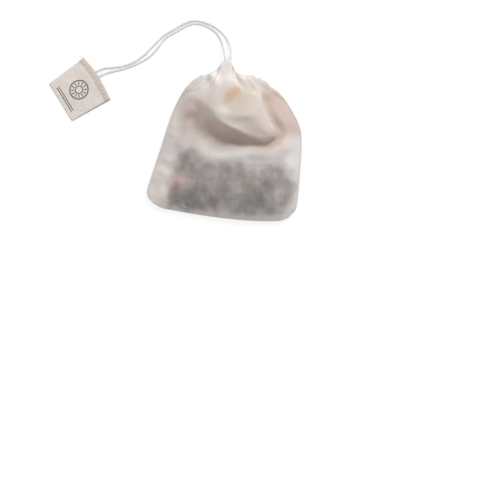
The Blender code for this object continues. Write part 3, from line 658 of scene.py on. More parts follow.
def muslinMaterial(stitchRow):
    # Undyed plain-weave cotton muslin: thin, matt and uneven, so what lies behind it shows softly.
    material, shader = newMaterial("undyed cotton muslin")
    size = pouchSettings["mapSize"]
    uv = addNode(material, "UVMap", {"uv_map": "clothUv"})["UV"]
    part = addNode(material, "SeparateXYZ", {}, {"Vector": uv})
    drift = addNode(material, "TexNoise", {}, {
        "Vector": uv, "Scale": size / pouchSettings["drift"], "Detail": 2.0})["Color"]
    wander = pouchSettings["drift"] / size
    shifted = addNode(material, "VectorMath", {"operation": "MULTIPLY_ADD"}, {
        0: drift, 1: (wander, wander, 0), 2: uv})["Vector"]  # loose threads wander
    loose = addNode(material, "SeparateXYZ", {}, {"Vector": shifted})
    weave = plainWeave(material, loose, size / pouchSettings["threadPitch"])
    (acrossWide, downWide), slubLong = pouchSettings["slubWide"], pouchSettings["slubLong"]
    slubs = [addNode(material, "TexNoise", {}, {  # thick and thin threads
        "Vector": addNode(material, "Mapping", {}, {"Vector": shifted, "Scale": stretch})["Vector"],
        "Scale": 1.0, "Detail": 2.0})["Fac"]
        for stretch in ((size / acrossWide, size / slubLong, 1), (size / slubLong, size / downWide, 1))]
    slub = addNode(material, "Math", {"operation": "ADD"}, {0: slubs[0], 1: slubs[1]})[0]
    height = addNode(material, "Math", {"operation": "MULTIPLY_ADD"}, {0: weave, 1: 0.24, 2: slub})[0]
    clouds = addNode(material, "TexNoise", {}, {
        "Vector": uv, "Scale": size / pouchSettings["cloudSize"], "Detail": 3.0})["Fac"]

    # The line of stitches that holds the hem
    fromRow = addNode(material, "Math", {"operation": "SUBTRACT"}, {0: part["Y"], 1: stitchRow})[0]
    gap = addNode(material, "Math", {"operation": "ABSOLUTE"}, {0: fromRow})[0]
    (core, fringe), (hole, full) = pouchSettings["seamHalf"], pouchSettings["stitchGap"]
    line = addNode(material, "MapRange", {}, {
        "Value": gap, "From Min": core / size, "From Max": fringe / size, "To Min": 1.0, "To Max": 0.0})[0]
    dash = addNode(material, "Math", {"operation": "PINGPONG"}, {
        0: part["X"], 1: pouchSettings["stitch"] / 2 / size})[0]
    stitch = addNode(material, "MapRange", {}, {
        "Value": dash, "From Min": hole / size, "From Max": full / size})[0]
    sewn = addNode(material, "Math", {"operation": "MULTIPLY"}, {0: line, 1: stitch})[0]

    # The cloth's colour with its painted shade and highlights, the tea behind it, and the threads over both
    tint = addNode(material, "Attribute", {"attribute_name": "clothColourAndShade"})["Color"]
    mottled = addNode(material, "MixRGB", {"blend_type": "MULTIPLY"}, {
        "Fac": 1.0, "Color1": tint, "Color2": addNode(material, "MapRange", {}, {
            "Value": clouds, "From Min": 0.3, "From Max": 0.7, "To Min": 0.96, "To Max": 1.03})[0]})[0]
    cover = addNode(material, "Attribute", {"attribute_name": "teaCover"})["Fac"]
    behind = addNode(material, "Attribute", {"attribute_name": "teaBehind"})["Color"]
    veiled = addNode(material, "Math", {"operation": "MULTIPLY"}, {  # thick threads hide more of the tea
        0: cover, 1: addNode(material, "MapRange", {}, {
            "Value": slub, "From Min": 0.75, "From Max": 1.25, "To Min": 1.06, "To Max": 0.94})[0]})[0]
    seen = addNode(material, "MixRGB", {"use_clamp": True}, {
        "Fac": veiled, "Color1": mottled, "Color2": behind})[0]
    woven = addNode(material, "MixRGB", {"blend_type": "MULTIPLY"}, {
        "Fac": 1.0, "Color1": seen, "Color2": addNode(material, "MapRange", {}, {
            "Value": height, "From Min": 0.85, "From Max": 1.6, "To Min": 0.96, "To Max": 1.02})[0]})[0]
    threads = addNode(material, "MixRGB", {}, {
        "Fac": sewn, "Color1": woven, "Color2": linear(pouchSettings["seam"])})[0]
    raised = addNode(material, "Math", {"operation": "ADD"}, {0: height, 1: sewn})[0]
    finishMaterial(material, shader, threads, raised, 0.2, 0.12 * mm, 0.92)
    shader.inputs["Sheen Weight"].default_value = 0.1
    return material


def settleCloth(pouch, hold, rows, columns):
    # A short cloth simulation, held to the folds, in which the muslin buckles a little by itself.
    data = pouch.data
    rest = np.empty(len(data.vertices) * 3, np.float32)
    data.vertices.foreach_get("co", rest)
    rest = rest.reshape(-1, 3)
    data.vertices.foreach_set("co", (rest * settling["scale"]).ravel())
    group = pouch.vertex_groups.new(name="hold")
    for weight in np.unique(hold):
        group.add([int(k) for k in np.nonzero(hold == weight)[0]], float(weight), "REPLACE")
    cloth = pouch.modifiers.new("cloth", "CLOTH")
    for name, value in settling["cloth"].items():
        setattr(cloth.settings, name, value)
    cloth.settings.effector_weights.gravity = 0
    cloth.collision_settings.use_collision = False
    cloth.point_cache.frame_end = settling["steps"] + 1
    scene = bpy.context.scene
    for step in range(1, settling["steps"] + 1):
        scene.frame_set(step)
    moved = pouch.evaluated_get(bpy.context.evaluated_depsgraph_get()).to_mesh()
    place = np.empty(len(moved.vertices) * 3, np.float32)
    moved.vertices.foreach_get("co", place)
    shift = place.reshape(-1, 3) / settling["scale"] - rest
    pouch.modifiers.remove(cloth)
    pouch.vertex_groups.remove(group)
    scene.frame_set(1)
    far = np.linalg.norm(shift, axis=1)
    shift *= np.minimum(1, settling["cap"] / np.maximum(far, 1e-9))[:, None]
    table = np.zeros((rows.max() + 1, columns.max() + 1, 3))
    table[rows, columns] = shift
    for k in range(3):  # muslin has no wrinkles finer than this
        shift[:, k] = blurGrid(table[..., k], settling["finest"])[rows, columns]
    print("cloth settled, moving", round(float(np.linalg.norm(shift, axis=1).max()) / mm, 2), "mm at most")
    data.vertices.foreach_set("co", (rest + shift).ravel())
    data.update()


def holdOf(rows, columns, start, downs, table):  # how firmly each point of the pouch keeps its place
    wide, arc = pouchSettings["columns"], pouchSettings["arc"]
    across, down = columns / (wide - 1), downs[rows]
    x, y = table[rows, columns, 0], table[rows, columns, 1]
    edge = 1 - smoothStep(1 - np.abs(2 * across - 1), 0.04, 0.3)
    edge = np.maximum(edge, smoothStep(down, 0.95, 0.99))
    edge = np.maximum(edge, 0.5 * stroke(x, y, lobeEdge, settling["lobeWide"]))
    hold = settling["hold"] + (settling["edgeHold"] - settling["hold"]) * edge
    hold[columns >= wide] = settling["edgeHold"]
    hold[(columns >= wide + arc) & (columns < 2 * wide + arc)] = 1
    hold = np.maximum(hold, 1 - smoothStep(down, 0.14, 0.3))  # the gathers are too tight to simulate
    hold[(rows < start) | (down > 0.99)] = 1
    return np.round(hold, 2)


def openSlot(mesh, spots, top, start):  # where both ends of the cord come out of the hem
    left, right, above = pouchSettings["slot"]
    gone = []
    for face in mesh.faces:
        i, j = (min(spots[v][k] for v in face.verts) for k in (0, 1))
        onFront = j < start and i < pouchSettings["columns"] - 1
        if onFront and left < (top[i, 0] + top[i + 1, 0]) / 2 < right and top[i, 1] > above:
            gone.append(face)
    bmesh.ops.delete(mesh, geom=gone, context="FACES")


def makePouch():
    table, start, downs = pouchRings()
    count, columns = table.shape[1], pouchSettings["columns"]
    mesh = bmesh.new()
    rowLayer = mesh.verts.layers.int.new("row")
    columnLayer = mesh.verts.layers.int.new("column")
    uvLayer = mesh.loops.layers.uv.new("clothUv")
    verts, at = layGrid(table, mesh, closed=True)
    spots = dict(zip(verts, at))
    for vertex, (i, j) in spots.items():
        vertex[rowLayer], vertex[columnLayer] = int(j), int(i % count)
    body = table[start + len(downs[start:]) // 2]
    around = np.cumsum(np.linalg.norm(np.diff(body[[-1, *range(count), 0]], axis=0), axis=1))
    run = np.cumsum(np.linalg.norm(np.diff(table[[0, *range(len(table))], columns // 2], axis=0), axis=1))
    around, run = around / pouchSettings["mapSize"], 0.05 + run / pouchSettings["mapSize"]
    mapGrid(mesh.faces, uvLayer, spots, around, run)
    openSlot(mesh, spots, table[start], start)
    bmesh.ops.remove_doubles(mesh, verts=mesh.verts, dist=2e-6)
    mesh.normal_update()
    if sum(f.normal.z * f.calc_area() for f in mesh.faces if f.calc_center_median().z > 9 * mm) < 0:
        bmesh.ops.reverse_faces(mesh, faces=mesh.faces)
    pouch = putObject(mesh, "muslinPouch", muslinMaterial(run[start + pouchSettings["hemRows"]]))
    data = pouch.data
    rows, cols = (np.array([d.value for d in data.attributes[name].data]) for name in ("row", "column"))
    settleCloth(pouch, holdOf(rows, cols, start, downs, table), rows, cols)
    onFront = (cols < columns) & (rows >= start)
    grid = table[start:, :columns].copy()
    grid[rows[onFront] - start, cols[onFront]] = np.array([v.co for v in data.vertices])[onFront]
    addWall(pouch, form["cloth"])
    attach(pouch, "root")
    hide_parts("muslin_pouch")
    print("pouch made")
    return pouch, grid, rows - start, cols, downs[start:]


pouch, clothGrid, pouchRows, pouchColumns, clothDowns = makePouch()


def gridNormals(points):
    normal = np.cross(np.gradient(points, axis=0), np.gradient(points, axis=1))
    return normal / np.maximum(np.linalg.norm(normal, axis=-1), 1e-12)[..., None]


clothNormals = gridNormals(clothGrid)

# The tea: cut leaves and a few petals lying against the front of the bag

teaSettings = {
    "inset": 1.3 * mm, "flakes": 1300, "shortest": 2.2 * mm, "longest": 6.0 * mm,
    "highest": 0.25, "deepest": 2.2,  # how far the flakes lie behind the cloth, in millimetres
    "petalDeep": 0.2 * mm, "longCurl": 0.3 * mm, "sideCurl": 0.2 * mm, "clear": 0.12 * mm,
    "grain": 0.714 * mm,
    "colours": ["#2a211a", "#3a2c20", "#1f1b17", "#4a3a2a", "#33301f", "#584433"],
    # dried petals, each with its colour, place, length, turn and width share in millimetres and degrees
    "petals": [("#cfa9a4", -23.4, -21.6, 12.5, 8, 0.66), ("#9c8480", -16.4, -24.8, 5.0, 60, 0.6),
               ("#a88c64", 12.0, -22.0, 3.5, 0, 0.6), ("#c29a72", 5.0, 21.6, 11, 52, 0.42),
               ("#c2a582", 2.4, 18.2, 7.0, 52, 0.6), ("#cbc6a6", 13.6, 23.8, 8.0, 12, 0.6)],
    # thicker and thinner places: where, how wide in millimetres, and by which share
    "packed": [(-24, -35, 6, 0.22), (-12.5, -21.5, 4, -0.16), (-17, -6, 4, -0.14), (-17, -34, 8, 0.1),
               (-19, -10, 4, 0.12), (-26, -14, 3.5, -0.2), (-17, -25, 8, -0.12), (-9, -22, 7, 0.1),
               (-16, -32, 6, 0.08)],
}

# How the cloth shows what is behind it: how near it must be, and how much of its own colour comes through
showing = {"depth": 2.6 * mm, "most": 0.92, "leaf": 0.3, "petal": 0.9}


def leafMaterial():
    # Dried tea leaf: dull, fibrous and nearly black, with lighter stalks and a few petals.
    material, shader = newMaterial("dried cut tea leaf")
    tint = addNode(material, "Attribute", {"attribute_name": "leafTint"})["Color"]
    grain = addNode(material, "TexNoise", {}, {
        "Vector": addNode(material, "TexCoord")["Object"], "Scale": 1 / teaSettings["grain"],
        "Detail": 4.0})["Fac"]
    dark = addNode(material, "MixRGB", {"blend_type": "MULTIPLY"}, {
        "Fac": 0.5, "Color1": tint,
        "Color2": addNode(material, "ValToRGB", {}, {"Fac": grain})["Color"]})[0]
    finishMaterial(material, shader, dark, grain, 0.5, 0.2 * mm, 0.75)
    return material


def makeTea():
    dice = np.random.default_rng(11)
    heap = bmesh.new()
    heap.from_mesh(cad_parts["tea_leaves"].data)
    bmesh.ops.remove_doubles(heap, verts=heap.verts, dist=1e-6)
    heap.normal_update()
    tint = heap.verts.layers.float_color.new("leafTint")
    flat = clothGrid.reshape(-1, 3)

    def below(x, y):  # the underside of the cloth there
        return flat[np.argmin((flat[:, 0] - x) ** 2 + (flat[:, 1] - y) ** 2), 2] - form["cloth"]

    places = np.array([v.co - v.normal * teaSettings["inset"] for v in heap.verts])
    area = teaArea(places[:, 0], places[:, 1])
    rough = 0.6 * lumps(places[:, 0], places[:, 1], 8 * mm, 21)
    for vertex, place, share, swell in zip(heap.verts, places, area, rough):
        deep = (0.9 + 0.5 * swell + 3 * (1 - share)) * mm
        place[2] = max(min(place[2], below(place[0], place[1]) - deep), min(place[2], 1.2 * mm))
        vertex.co = place
        vertex[tint] = (*linear(teaSettings["colours"][0])[:3], showing["leaf"])
    pieces = []
    rows, columns = clothGrid.shape[:2]
    count = teaSettings["flakes"]
    across, down = dice.integers(4, columns - 4, count), dice.integers(40, rows - 5, count)
    chance = dice.uniform(0.35, 0.95, count)
    keep = teaArea(clothGrid[down, across, 0], clothGrid[down, across, 1]) > chance
    for i, j in zip(across[keep], down[keep]):
        tone = teaSettings["colours"][dice.integers(0, len(teaSettings["colours"]))]
        size = dice.uniform(teaSettings["shortest"], teaSettings["longest"])
        deep = dice.uniform(teaSettings["highest"], teaSettings["deepest"]) * mm
        turn, slim = dice.uniform(0, 6.28), dice.uniform(0.3, 0.6)
        pieces.append((j, i, size, deep, tone, turn, slim, showing["leaf"]))
    for colour, x, y, size, turn, slim in teaSettings["petals"]:
        gap = np.hypot(clothGrid[..., 0] - x * mm, clothGrid[..., 1] - y * mm)
        j, i = np.unravel_index(gap.argmin(), gap.shape)
        pieces.append((j, i, size * mm, teaSettings["petalDeep"], colour, math.radians(turn), slim,
                       showing["petal"]))
    for j, i, size, deep, tone, turn, slim, share in pieces:
        point, normal = clothGrid[j, i], clothNormals[j, i]
        right = np.array([1.0, 0, 0]) - normal * normal[0]
        right /= np.linalg.norm(right)
        upward = np.cross(normal, right)
        axis = right * math.cos(turn) + upward * math.sin(turn)
        cross = np.cross(normal, axis)
        for vertex in bmesh.ops.create_grid(heap, x_segments=4, y_segments=2, size=0.5)["verts"]:
            a, b = vertex.co.x, vertex.co.y
            curl = teaSettings["longCurl"] * (2 * a) ** 2 + teaSettings["sideCurl"] * (2 * b) ** 2 * slim
            vertex.co = Vector(point + axis * a * size + cross * b * size * slim * (1 - 3.2 * a * a)
                               - normal * (form["cloth"] + deep + curl))
            vertex.co.z = min(vertex.co.z, below(vertex.co.x, vertex.co.y) - teaSettings["clear"])
            vertex[tint] = (*linear(tone)[:3], share)
    leaves = putObject(heap, "teaLeaves", leafMaterial())
    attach(leaves, "root")
    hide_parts("tea_leaves")
    print("tea made,", len(pieces), "pieces of leaf and petal")
    return leaves


tea = makeTea()


def teaBehindCloth():  # how much of the tea shows at each point of the front, and its colour
    heap = bmesh.new()
    heap.from_mesh(tea.data)
    layer = heap.verts.layers.float_color["leafTint"]
    heap.faces.ensure_lookup_table()
    tree = BVHTree.FromBMesh(heap)
    cover = np.zeros(clothGrid.shape[:2])
    colour = np.zeros((*cover.shape, 4))
    for j, i in np.ndindex(cover.shape):
        hit = tree.ray_cast(Vector(clothGrid[j, i]), Vector(-clothNormals[j, i]), 9 * mm)
        if hit[0] is not None:
            cover[j, i] = math.exp(-max(hit[3] - form["cloth"], 0) / showing["depth"])
            colour[j, i] = heap.faces[hit[2]].verts[0][layer]
    heap.free()
    weight = np.maximum(blurGrid(cover, 2), 1e-6)
    tinted = np.stack([blurGrid(colour[..., k] * cover, 2) / weight for k in range(4)], -1)
    return blurGrid(cover, 1) * 0.35 + blurGrid(cover, 4) * 0.65, tinted


def mixed(first, second, share):
    return first + (np.array(linear(second)[:3]) - first) * share[..., None]


def clothColourWithShade(x, y):  # the colour of the cloth by its layers, with painted shade in its folds and by its edges and painted highlights on its rims
    steps = np.linalg.norm(np.diff(clothGrid, axis=1), axis=-1)
    left = np.pad(np.cumsum(steps, axis=1), ((0, 0), (1, 0)))
    edge = np.minimum(left, left[:, -1:] - left)
    inside, _, lip = lobeSide(x, y)
    # painted shade along the crease under the lobe, wide at its left end and narrow at its right, kept off
    # the lobe
    wide = np.interp(np.linspace(0, 1, len(crease)), [0, 0.3, 0.6, 1], [7, 6.2, 4.6, 3.2]) * mm
    dark = stroke(x, y, np.column_stack([crease[:, :2], wide]))
    dark = dark * (1 - smoothStep(inside / lip, -0.5, 0.6))
    lobe = ramp(inside, -0.4, 1.4) * ramp(x, -16, -4)
    # painted shade on the low wing right of the lobe, where the lobe's edge shades it
    wing = ramp(-inside, 0, 1.2) * ramp(x, 16, 18.5) * ramp(y, -2, 4)
    wing = wing * (1 - ramp(y, 20, 28))
    hem = np.repeat((1 - smoothStep(clothDowns, 0.06, 0.22))[:, None], x.shape[1], axis=1)
    tint = np.ones(clothGrid.shape) * linear(pouchSettings["cloth"])[:3]
    tint = mixed(tint, pouchSettings["lobe"], lobe * (1 - hem))
    tint = mixed(tint, pouchSettings["wing"], wing)
    tint = mixed(tint, pouchSettings["crease"], dark)
    # a painted highlight along the lower edge of the lobe, where light catches the rim of the fold
    rim = band(inside, 0.9, 1.3) * ramp(x, -8, -2) * (1 - ramp(x, 9, 15))
    tint = mixed(tint, pouchSettings["rim"], pouchSettings["rimShare"] * rim)
    tint = mixed(tint, pouchSettings["hem"], hem * (1 - wing))
    # soft spots of painted shade and painted highlight
    for colour, across, up, wide, share in pouchSettings["paintedShadeAndHighlights"]:
        tint = mixed(tint, colour, share * spot(x, y, across, up, wide))
    return tint * (1 - pouchSettings["edgeShade"] * (1 - ramp(edge, 0.2, 1.3)))[..., None]


def paintCloth():
    x, y = clothGrid[..., 0], clothGrid[..., 1]
    tint = clothColourWithShade(x, y)
    cover, behind = teaBehindCloth()
    for across, up, wide, share in teaSettings["packed"]:
        cover *= 1 + share * spot(x, y, across, up, wide)
    cover = np.minimum(cover, 1)
    data = pouch.data
    onFront = (pouchColumns < pouchSettings["columns"]) & (pouchRows >= 0)
    j, i = pouchRows[onFront], pouchColumns[onFront]
    body = np.array(linear(pouchSettings["cloth"]))
    full = np.tile(body, (len(onFront), 1))
    back = 1 - smoothStep(clothDowns[np.maximum(pouchRows, 0)], 0.06, 0.22)
    full = full + (np.array(linear(pouchSettings["hem"])) - full) * back[:, None]
    full[onFront, :3] = tint[j, i]
    columns, arc = pouchSettings["columns"], pouchSettings["arc"]
    for first, way, column in ((columns, 1, -1), (2 * columns + 2 * arc - 1, -1, 0)):  # the rounded sides
        for k in range(arc):
            side = (pouchColumns == first + k * way) & (pouchRows >= 0)
            share = 1 - smoothStep(k / arc, 0, 0.7)
            full[side, :3] += (tint[pouchRows[side], column] - full[side, :3]) * share
    data.attributes.new("clothColourAndShade", "FLOAT_COLOR", "POINT").data.foreach_set("color", full.ravel())
    veil = np.zeros(len(onFront))
    veil[onFront] = cover[j, i] * showing["most"]
    data.attributes.new("teaCover", "FLOAT", "POINT").data.foreach_set("value", veil)
    full = np.tile(np.array(linear(pouchSettings["behind"])), (len(onFront), 1))
    full[onFront, :3] += (behind[j, i, :3] - full[onFront, :3]) * behind[j, i, 3:]
    data.attributes.new("teaBehind", "FLOAT_COLOR", "POINT").data.foreach_set("color", full.ravel())
    for name in ("row", "column"):
        data.attributes.remove(data.attributes[name])
    print("cloth painted")


paintCloth()

# The tag: one strip of cotton tape folded in two and sewn over the ends of the cord

tagSettings = {
    "cloth": 0.45 * mm, "gap": 0.35 * mm, "lump": 1.05 * mm, "curl": 1.1 * mm, "bow": 1.2 * mm,
    "columns": 49, "rows": 49, "wide": 24 * mm, "long": 22 * mm, "sheetLong": 46 * mm, "slip": 0.6 * mm,
    "hem": 0.11, "hemRise": 0.4 * mm, "sewn": 0.083, "stitches": 10, "mapSize": 50 * mm,
    "threadPitch": 0.7 * mm,  # cotton tape has about 0.4 mm, drawn coarser to show
    "lint": 1.6 * mm, "grain": 0.2857 * mm,  # unevenness of the tape, and streaks of the sewing thread
    "stitchHalf": 0.032, "threadRadius": 0.13 * mm, "looseRadius": 0.07 * mm,
    "stitchArch": 0.12 * mm, "stitchSunk": 0.06 * mm,
    # the hem colour darkens the tape's hem band as painted shade
    "colour": "#e9e2db", "shade": "#d6cdc5", "hemShade": "#efeae5", "ink": "#4b4745", "thread": "#cdb0a6",
    "ring": 4.7, "innerRing": 1.9, "ticks": 12, "tickLong": 1.6, "line": 0.25,  # the print, in millimetres
    "ruleGap": 1.1, "ruleLong": 15.2,
    # the run of each loose thread from the corner, in millimetres
    "looseThreads": [[(0.6, -0.5), (-0.5, 0.7), (-1.6, 0.9), (-2.6, 1.5)],
                     [(0.4, -0.6), (0.1, 0.6), (0.7, 1.3)], [(0.2, -1.0), (-1.0, -0.2), (-1.8, -0.5)]],
}

tagCorners = np.array([(-70.3, 40.2), (-57.0, 20.0), (-87.7, 27.3), (-76.3, 8.8)]) * mm


def tagPlace(across, down):
    a, d = across[..., None], down[..., None]
    near = (1 - a) * tagCorners[0] + a * tagCorners[1]
    far = (1 - a) * tagCorners[2] + a * tagCorners[3]
    outward = (tagCorners[0] - tagCorners[2]) / np.linalg.norm(tagCorners[0] - tagCorners[2])
    near = near + outward * tagSettings["bow"] * np.sin(math.pi * a**0.75) ** 1.2
    return (1 - d) * near + d * far


def tagHeight(across, down):
    curl = tagSettings["curl"] * np.sin(math.pi * across) * np.sin(math.pi * down) ** 2
    lump = np.exp(-np.abs((across - 0.43) / 0.3) ** 3) * (1 - smoothStep(down, 0.13, 0.42))
    hem = 1 - smoothStep(down, tagSettings["hem"], tagSettings["hem"] + 0.03)
    rough = 0.07 * mm * lumps(across * tagSettings["wide"], down * tagSettings["long"], 7 * mm, 8)
    return (2 * tagSettings["cloth"] + tagSettings["gap"] + tagSettings["lump"] * lump
            + tagSettings["hemRise"] * hem + curl * 0.6 + rough)


def tagMaterial(centre, rule, hemRow):
    # Unbleached cotton tape: matt, close plain weave, with a thin print in dull black ink.
    material, shader = newMaterial("unbleached cotton tape")
    size = tagSettings["mapSize"]
    uv = addNode(material, "UVMap", {"uv_map": "tagUv"})["UV"]
    part = addNode(material, "SeparateXYZ", {}, {"Vector": uv})
    weave = plainWeave(material, part, size / tagSettings["threadPitch"])
    noise = addNode(material, "TexNoise", {}, {
        "Vector": uv, "Scale": size / tagSettings["lint"], "Detail": 4.0})["Fac"]
    height = addNode(material, "Math", {"operation": "MULTIPLY_ADD"}, {0: weave, 1: 0.6, 2: noise})[0]
    plain = addNode(material, "MixRGB", {}, {
        "Fac": addNode(material, "MapRange", {}, {"Value": height, "From Min": 0.7, "From Max": 1.3})[0],
        "Color1": linear(tagSettings["shade"]), "Color2": linear(tagSettings["colour"])})[0]
    # painted shade: the hem band of the tape is made a little darker
    hemShaded = addNode(material, "MapRange", {}, {
        "Value": part["Y"], "From Min": hemRow - 0.3 * mm / size, "From Max": hemRow + 0.3 * mm / size})[0]
    plain = addNode(material, "MixRGB", {"blend_type": "MULTIPLY"}, {
        "Fac": hemShaded, "Color1": plain, "Color2": linear(tagSettings["hemShade"])})[0]

    # The print: two plain rings with a wheel of short strokes between them, and two straight rules
    away = addNode(material, "VectorMath", {"operation": "SUBTRACT"}, {0: uv, 1: (*centre, 0)})["Vector"]
    span = addNode(material, "VectorMath", {"operation": "LENGTH"}, {0: away})["Value"]
    off = addNode(material, "SeparateXYZ", {}, {"Vector": away})
    turn = addNode(material, "Math", {"operation": "ARCTAN2"}, {0: off["Y"], 1: off["X"]})[0]
    ticks = tagSettings["ticks"]
    spoke = turn
    for operation, second in (("MULTIPLY", ticks / 2), ("SINE", 0), ("MULTIPLY", span),
                              ("MULTIPLY", 2 / ticks)):
        spoke = addNode(material, "Math", {"operation": operation}, {0: spoke, 1: second})[0]

    def inkLine(value, middle, half):  # 1 within half of the middle, both in millimetres
        gap = addNode(material, "Math", {"operation": "SUBTRACT"}, {0: value, 1: middle * mm / size})[0]
        gap = addNode(material, "Math", {"operation": "ABSOLUTE"}, {0: gap})[0]
        return addNode(material, "MapRange", {}, {
            "Value": gap, "From Min": (half - 0.06) * mm / size, "From Max": (half + 0.06) * mm / size,
            "To Min": 1.0, "To Max": 0.0})[0]

    line, ring, innerRing = tagSettings["line"], tagSettings["ring"], tagSettings["innerRing"]
    wheel = addNode(material, "Math", {"operation": "MULTIPLY"}, {
        0: inkLine(spoke, 0, line), 1: inkLine(span, (ring + innerRing) / 2, tagSettings["tickLong"] / 2)})[0]
    wear = addNode(material, "MapRange", {}, {
        "Value": height, "From Min": 0.6, "From Max": 1.1, "To Min": 0.7, "To Max": 0.95})[0]
    ink = inkLine(part["Y"], rule, line)
    for operation, mark in (
            ("MAXIMUM", inkLine(part["Y"], rule + tagSettings["ruleGap"], line)),
            ("MULTIPLY", inkLine(part["X"], tagSettings["wide"] / mm / 2, tagSettings["ruleLong"] / 2)),
            ("MAXIMUM", wheel), ("MAXIMUM", inkLine(span, ring, line * 1.3)),
            ("MAXIMUM", inkLine(span, innerRing, line)), ("MULTIPLY", wear)):
        ink = addNode(material, "Math", {"operation": operation}, {0: ink, 1: mark})[0]
    final = addNode(material, "MixRGB", {}, {
        "Fac": ink, "Color1": plain, "Color2": linear(tagSettings["ink"])})[0]
    finishMaterial(material, shader, final, height, 0.4, 0.15 * mm, 0.9)
    return material


def threadMaterial():
    # Polyester sewing thread: fine, a little shiny, with its twist too small to see but as streaks.
    material, shader = newMaterial("sewing thread")
    grain = addNode(material, "TexNoise", {}, {
        "Vector": addNode(material, "TexCoord")["Object"], "Scale": 1 / tagSettings["grain"],
        "Detail": 2.0})["Fac"]
    tone = addNode(material, "MixRGB", {"blend_type": "MULTIPLY"}, {
        "Fac": 1.0, "Color1": linear(tagSettings["thread"]),
        "Color2": addNode(material, "MapRange", {}, {"Value": grain, "To Min": 0.8, "To Max": 1.15})[0]})[0]
    link(material, tone, shader.inputs["Base Color"])
    shader.inputs["Roughness"].default_value = 0.5
    return material


def makeStitches():  # a row of stitches that holds the cord, and a few loose threads at a corner
    mesh = bmesh.new()
    layer = mesh.loops.layers.uv.new("threadUv")
    arch = tagSettings["stitchArch"] * np.sin(np.linspace(0, math.pi, 9)) - tagSettings["stitchSunk"]
    down = np.full(9, tagSettings["sewn"])
    for share in (np.arange(tagSettings["stitches"]) + 0.5) / tagSettings["stitches"]:
        run = np.linspace(share - tagSettings["stitchHalf"], share + tagSettings["stitchHalf"], 9)
        path = np.column_stack([tagPlace(run, down), tagHeight(run, down) + arch])
        sweep(mesh, layer, path, 8, lambda turn, at: tagSettings["threadRadius"])
    corner = np.array([*tagCorners[0], 0.9 * mm])
    for reach in tagSettings["looseThreads"]:
        line = smoothCurve(np.array([(x, y, -0.2 * k) for k, (x, y) in enumerate(reach)]) * mm + corner, 6)
        sweep(mesh, layer, line, 6, lambda turn, at: tagSettings["looseRadius"])
    closeTubes(mesh)
    stitches = putObject(mesh, "tagStitches", threadMaterial())
    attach(stitches, "root")
    return stitches


def makeTag():
    columns, rows = tagSettings["columns"], tagSettings["rows"]
    across = np.linspace(0, 1, columns)
    downs = np.linspace(0, 0.97, rows)
    sideways = (tagCorners[1] - tagCorners[0]) / np.linalg.norm(tagCorners[1] - tagCorners[0])
    under = []
    for down in downs:  # the lower layer has slipped a little sideways
        place = tagPlace(across, np.full(columns, down)) + sideways * tagSettings["slip"] * (1 - down)
        under.append(np.column_stack([place, np.zeros(columns)]))
    fold = tagSettings["cloth"] + tagSettings["gap"] / 2
    way = tagPlace(across, np.ones(columns)) - tagPlace(across, np.zeros(columns))
    way /= np.linalg.norm(way, axis=1)[:, None]
    edge = tagPlace(across, np.full(columns, 0.97))
    bends = []
    for bend in np.linspace(0, math.pi, 9)[1:-1]:
        height = np.full(columns, fold * (1 - math.cos(bend)))
        bends.append(np.column_stack([edge + way * fold * math.sin(bend), height]))
    over = []
    for down in downs[::-1]:
        d = np.full(columns, down)
        over.append(np.column_stack([tagPlace(across, d), tagHeight(across, d)]))
    table = np.array(under + bends + over)
    run = np.cumsum(np.linalg.norm(np.diff(table[[0, *range(len(table))], columns // 2], axis=0), axis=1))
    run /= tagSettings["mapSize"]
    middle = run[-1 - int(0.52 * rows)]
    rule = run[-1 - int(0.9 * rows)] * tagSettings["mapSize"] / mm
    hemRow = run[-1 - int((tagSettings["hem"] + 0.015) * rows)]
    mesh = bmesh.new()
    uvLayer = mesh.loops.layers.uv.new("tagUv")
    verts, at = layGrid(table, mesh)
    mapWide = tagSettings["wide"] / tagSettings["mapSize"]
    mapGrid(mesh.faces, uvLayer, dict(zip(verts, at)), np.linspace(0, mapWide, columns), run)
    mesh.normal_update()
    if sum(f.normal.z for f in mesh.faces if f.calc_center_median().z > mm) < 0:
        bmesh.ops.reverse_faces(mesh, faces=mesh.faces)
    tag = putObject(mesh, "cottonTag", tagMaterial((mapWide / 2, middle), rule, hemRow))
    addWall(tag, tagSettings["cloth"])
    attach(tag, "root")
    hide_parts("cotton_tag")
    makeStitches()
    print("tag made")


makeTag()

# Floor, light and background

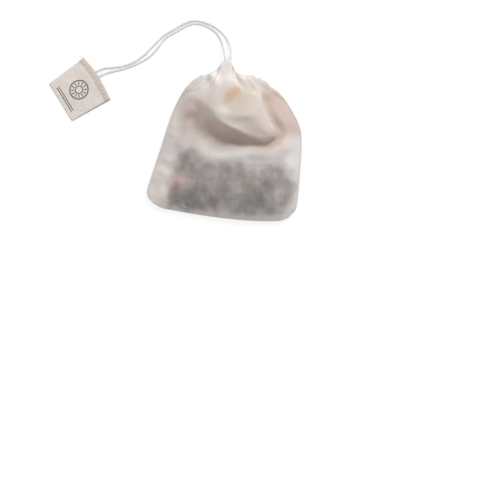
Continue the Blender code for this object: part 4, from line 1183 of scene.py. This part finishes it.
stageSettings = {
    "floorShade": 0.28, "floorGlow": 0.78, "worldLight": 0.5,
    # where each lamp is, its power and its size
    "lamps": {"key": ((0.28, 0.52, 0.5), 4.0, 0.34), "fill": ((-0.4, -0.3, 0.7), 0.8, 0.8)},
}


def makeStage():
    mesh = bmesh.new()
    bmesh.ops.create_grid(mesh, x_segments=1, y_segments=1, size=2.0)
    for vertex in mesh.verts:
        vertex.co.z = -0.05 * mm
    material, shader = newMaterial("plain white floor")
    shader.inputs["Base Color"].default_value = (0.8, 0.8, 0.8, 1)
    shader.inputs["Roughness"].default_value = 1.0
    shader.inputs["Specular IOR Level"].default_value = 0.0
    seen = addNode(material, "LightPath")["Is Camera Ray"]
    low = addNode(material, "BsdfDiffuse", {}, {"Color": (stageSettings["floorShade"],) * 3 + (1,)})[0]
    glow = addNode(material, "Emission", {}, {
        "Color": (1, 1, 1, 1), "Strength": stageSettings["floorGlow"]})[0]
    bright = addNode(material, "AddShader", {}, {0: low, 1: glow})[0]
    both = addNode(material, "MixShader", {}, {0: seen, 1: shader.outputs[0], 2: bright})[0]
    link(material, both, material.node_tree.nodes["Material Output"].inputs["Surface"])
    putObject(mesh, "floor", material, smooth=False)

    world = bpy.data.worlds.new("studio")
    bpy.context.scene.world = world
    world.use_nodes = True
    seen = addNode(world, "LightPath")["Is Camera Ray"]
    soft = world.node_tree.nodes["Background"]
    soft.inputs["Color"].default_value = (1, 0.99, 0.98, 1)
    soft.inputs["Strength"].default_value = stageSettings["worldLight"]
    white = addNode(world, "Background", {}, {"Color": (1, 1, 1, 1), "Strength": 1.0})[0]
    both = addNode(world, "MixShader", {}, {0: seen, 1: soft.outputs[0], 2: white})[0]
    link(world, both, world.node_tree.nodes["World Output"].inputs["Surface"])

    for name, (place, power, size) in stageSettings["lamps"].items():
        lamp = bpy.data.lights.new(name, "AREA")
        lamp.energy = power
        lamp.size = size
        obj = bpy.data.objects.new(name, lamp)
        obj.location = place
        obj.rotation_euler = (Vector((0, 0, 0)) - Vector(place)).to_track_quat("-Z", "Y").to_euler()
        bpy.context.scene.collection.objects.link(obj)
    bpy.context.scene.view_settings.view_transform = "Standard"


makeStage()
print("stage made")
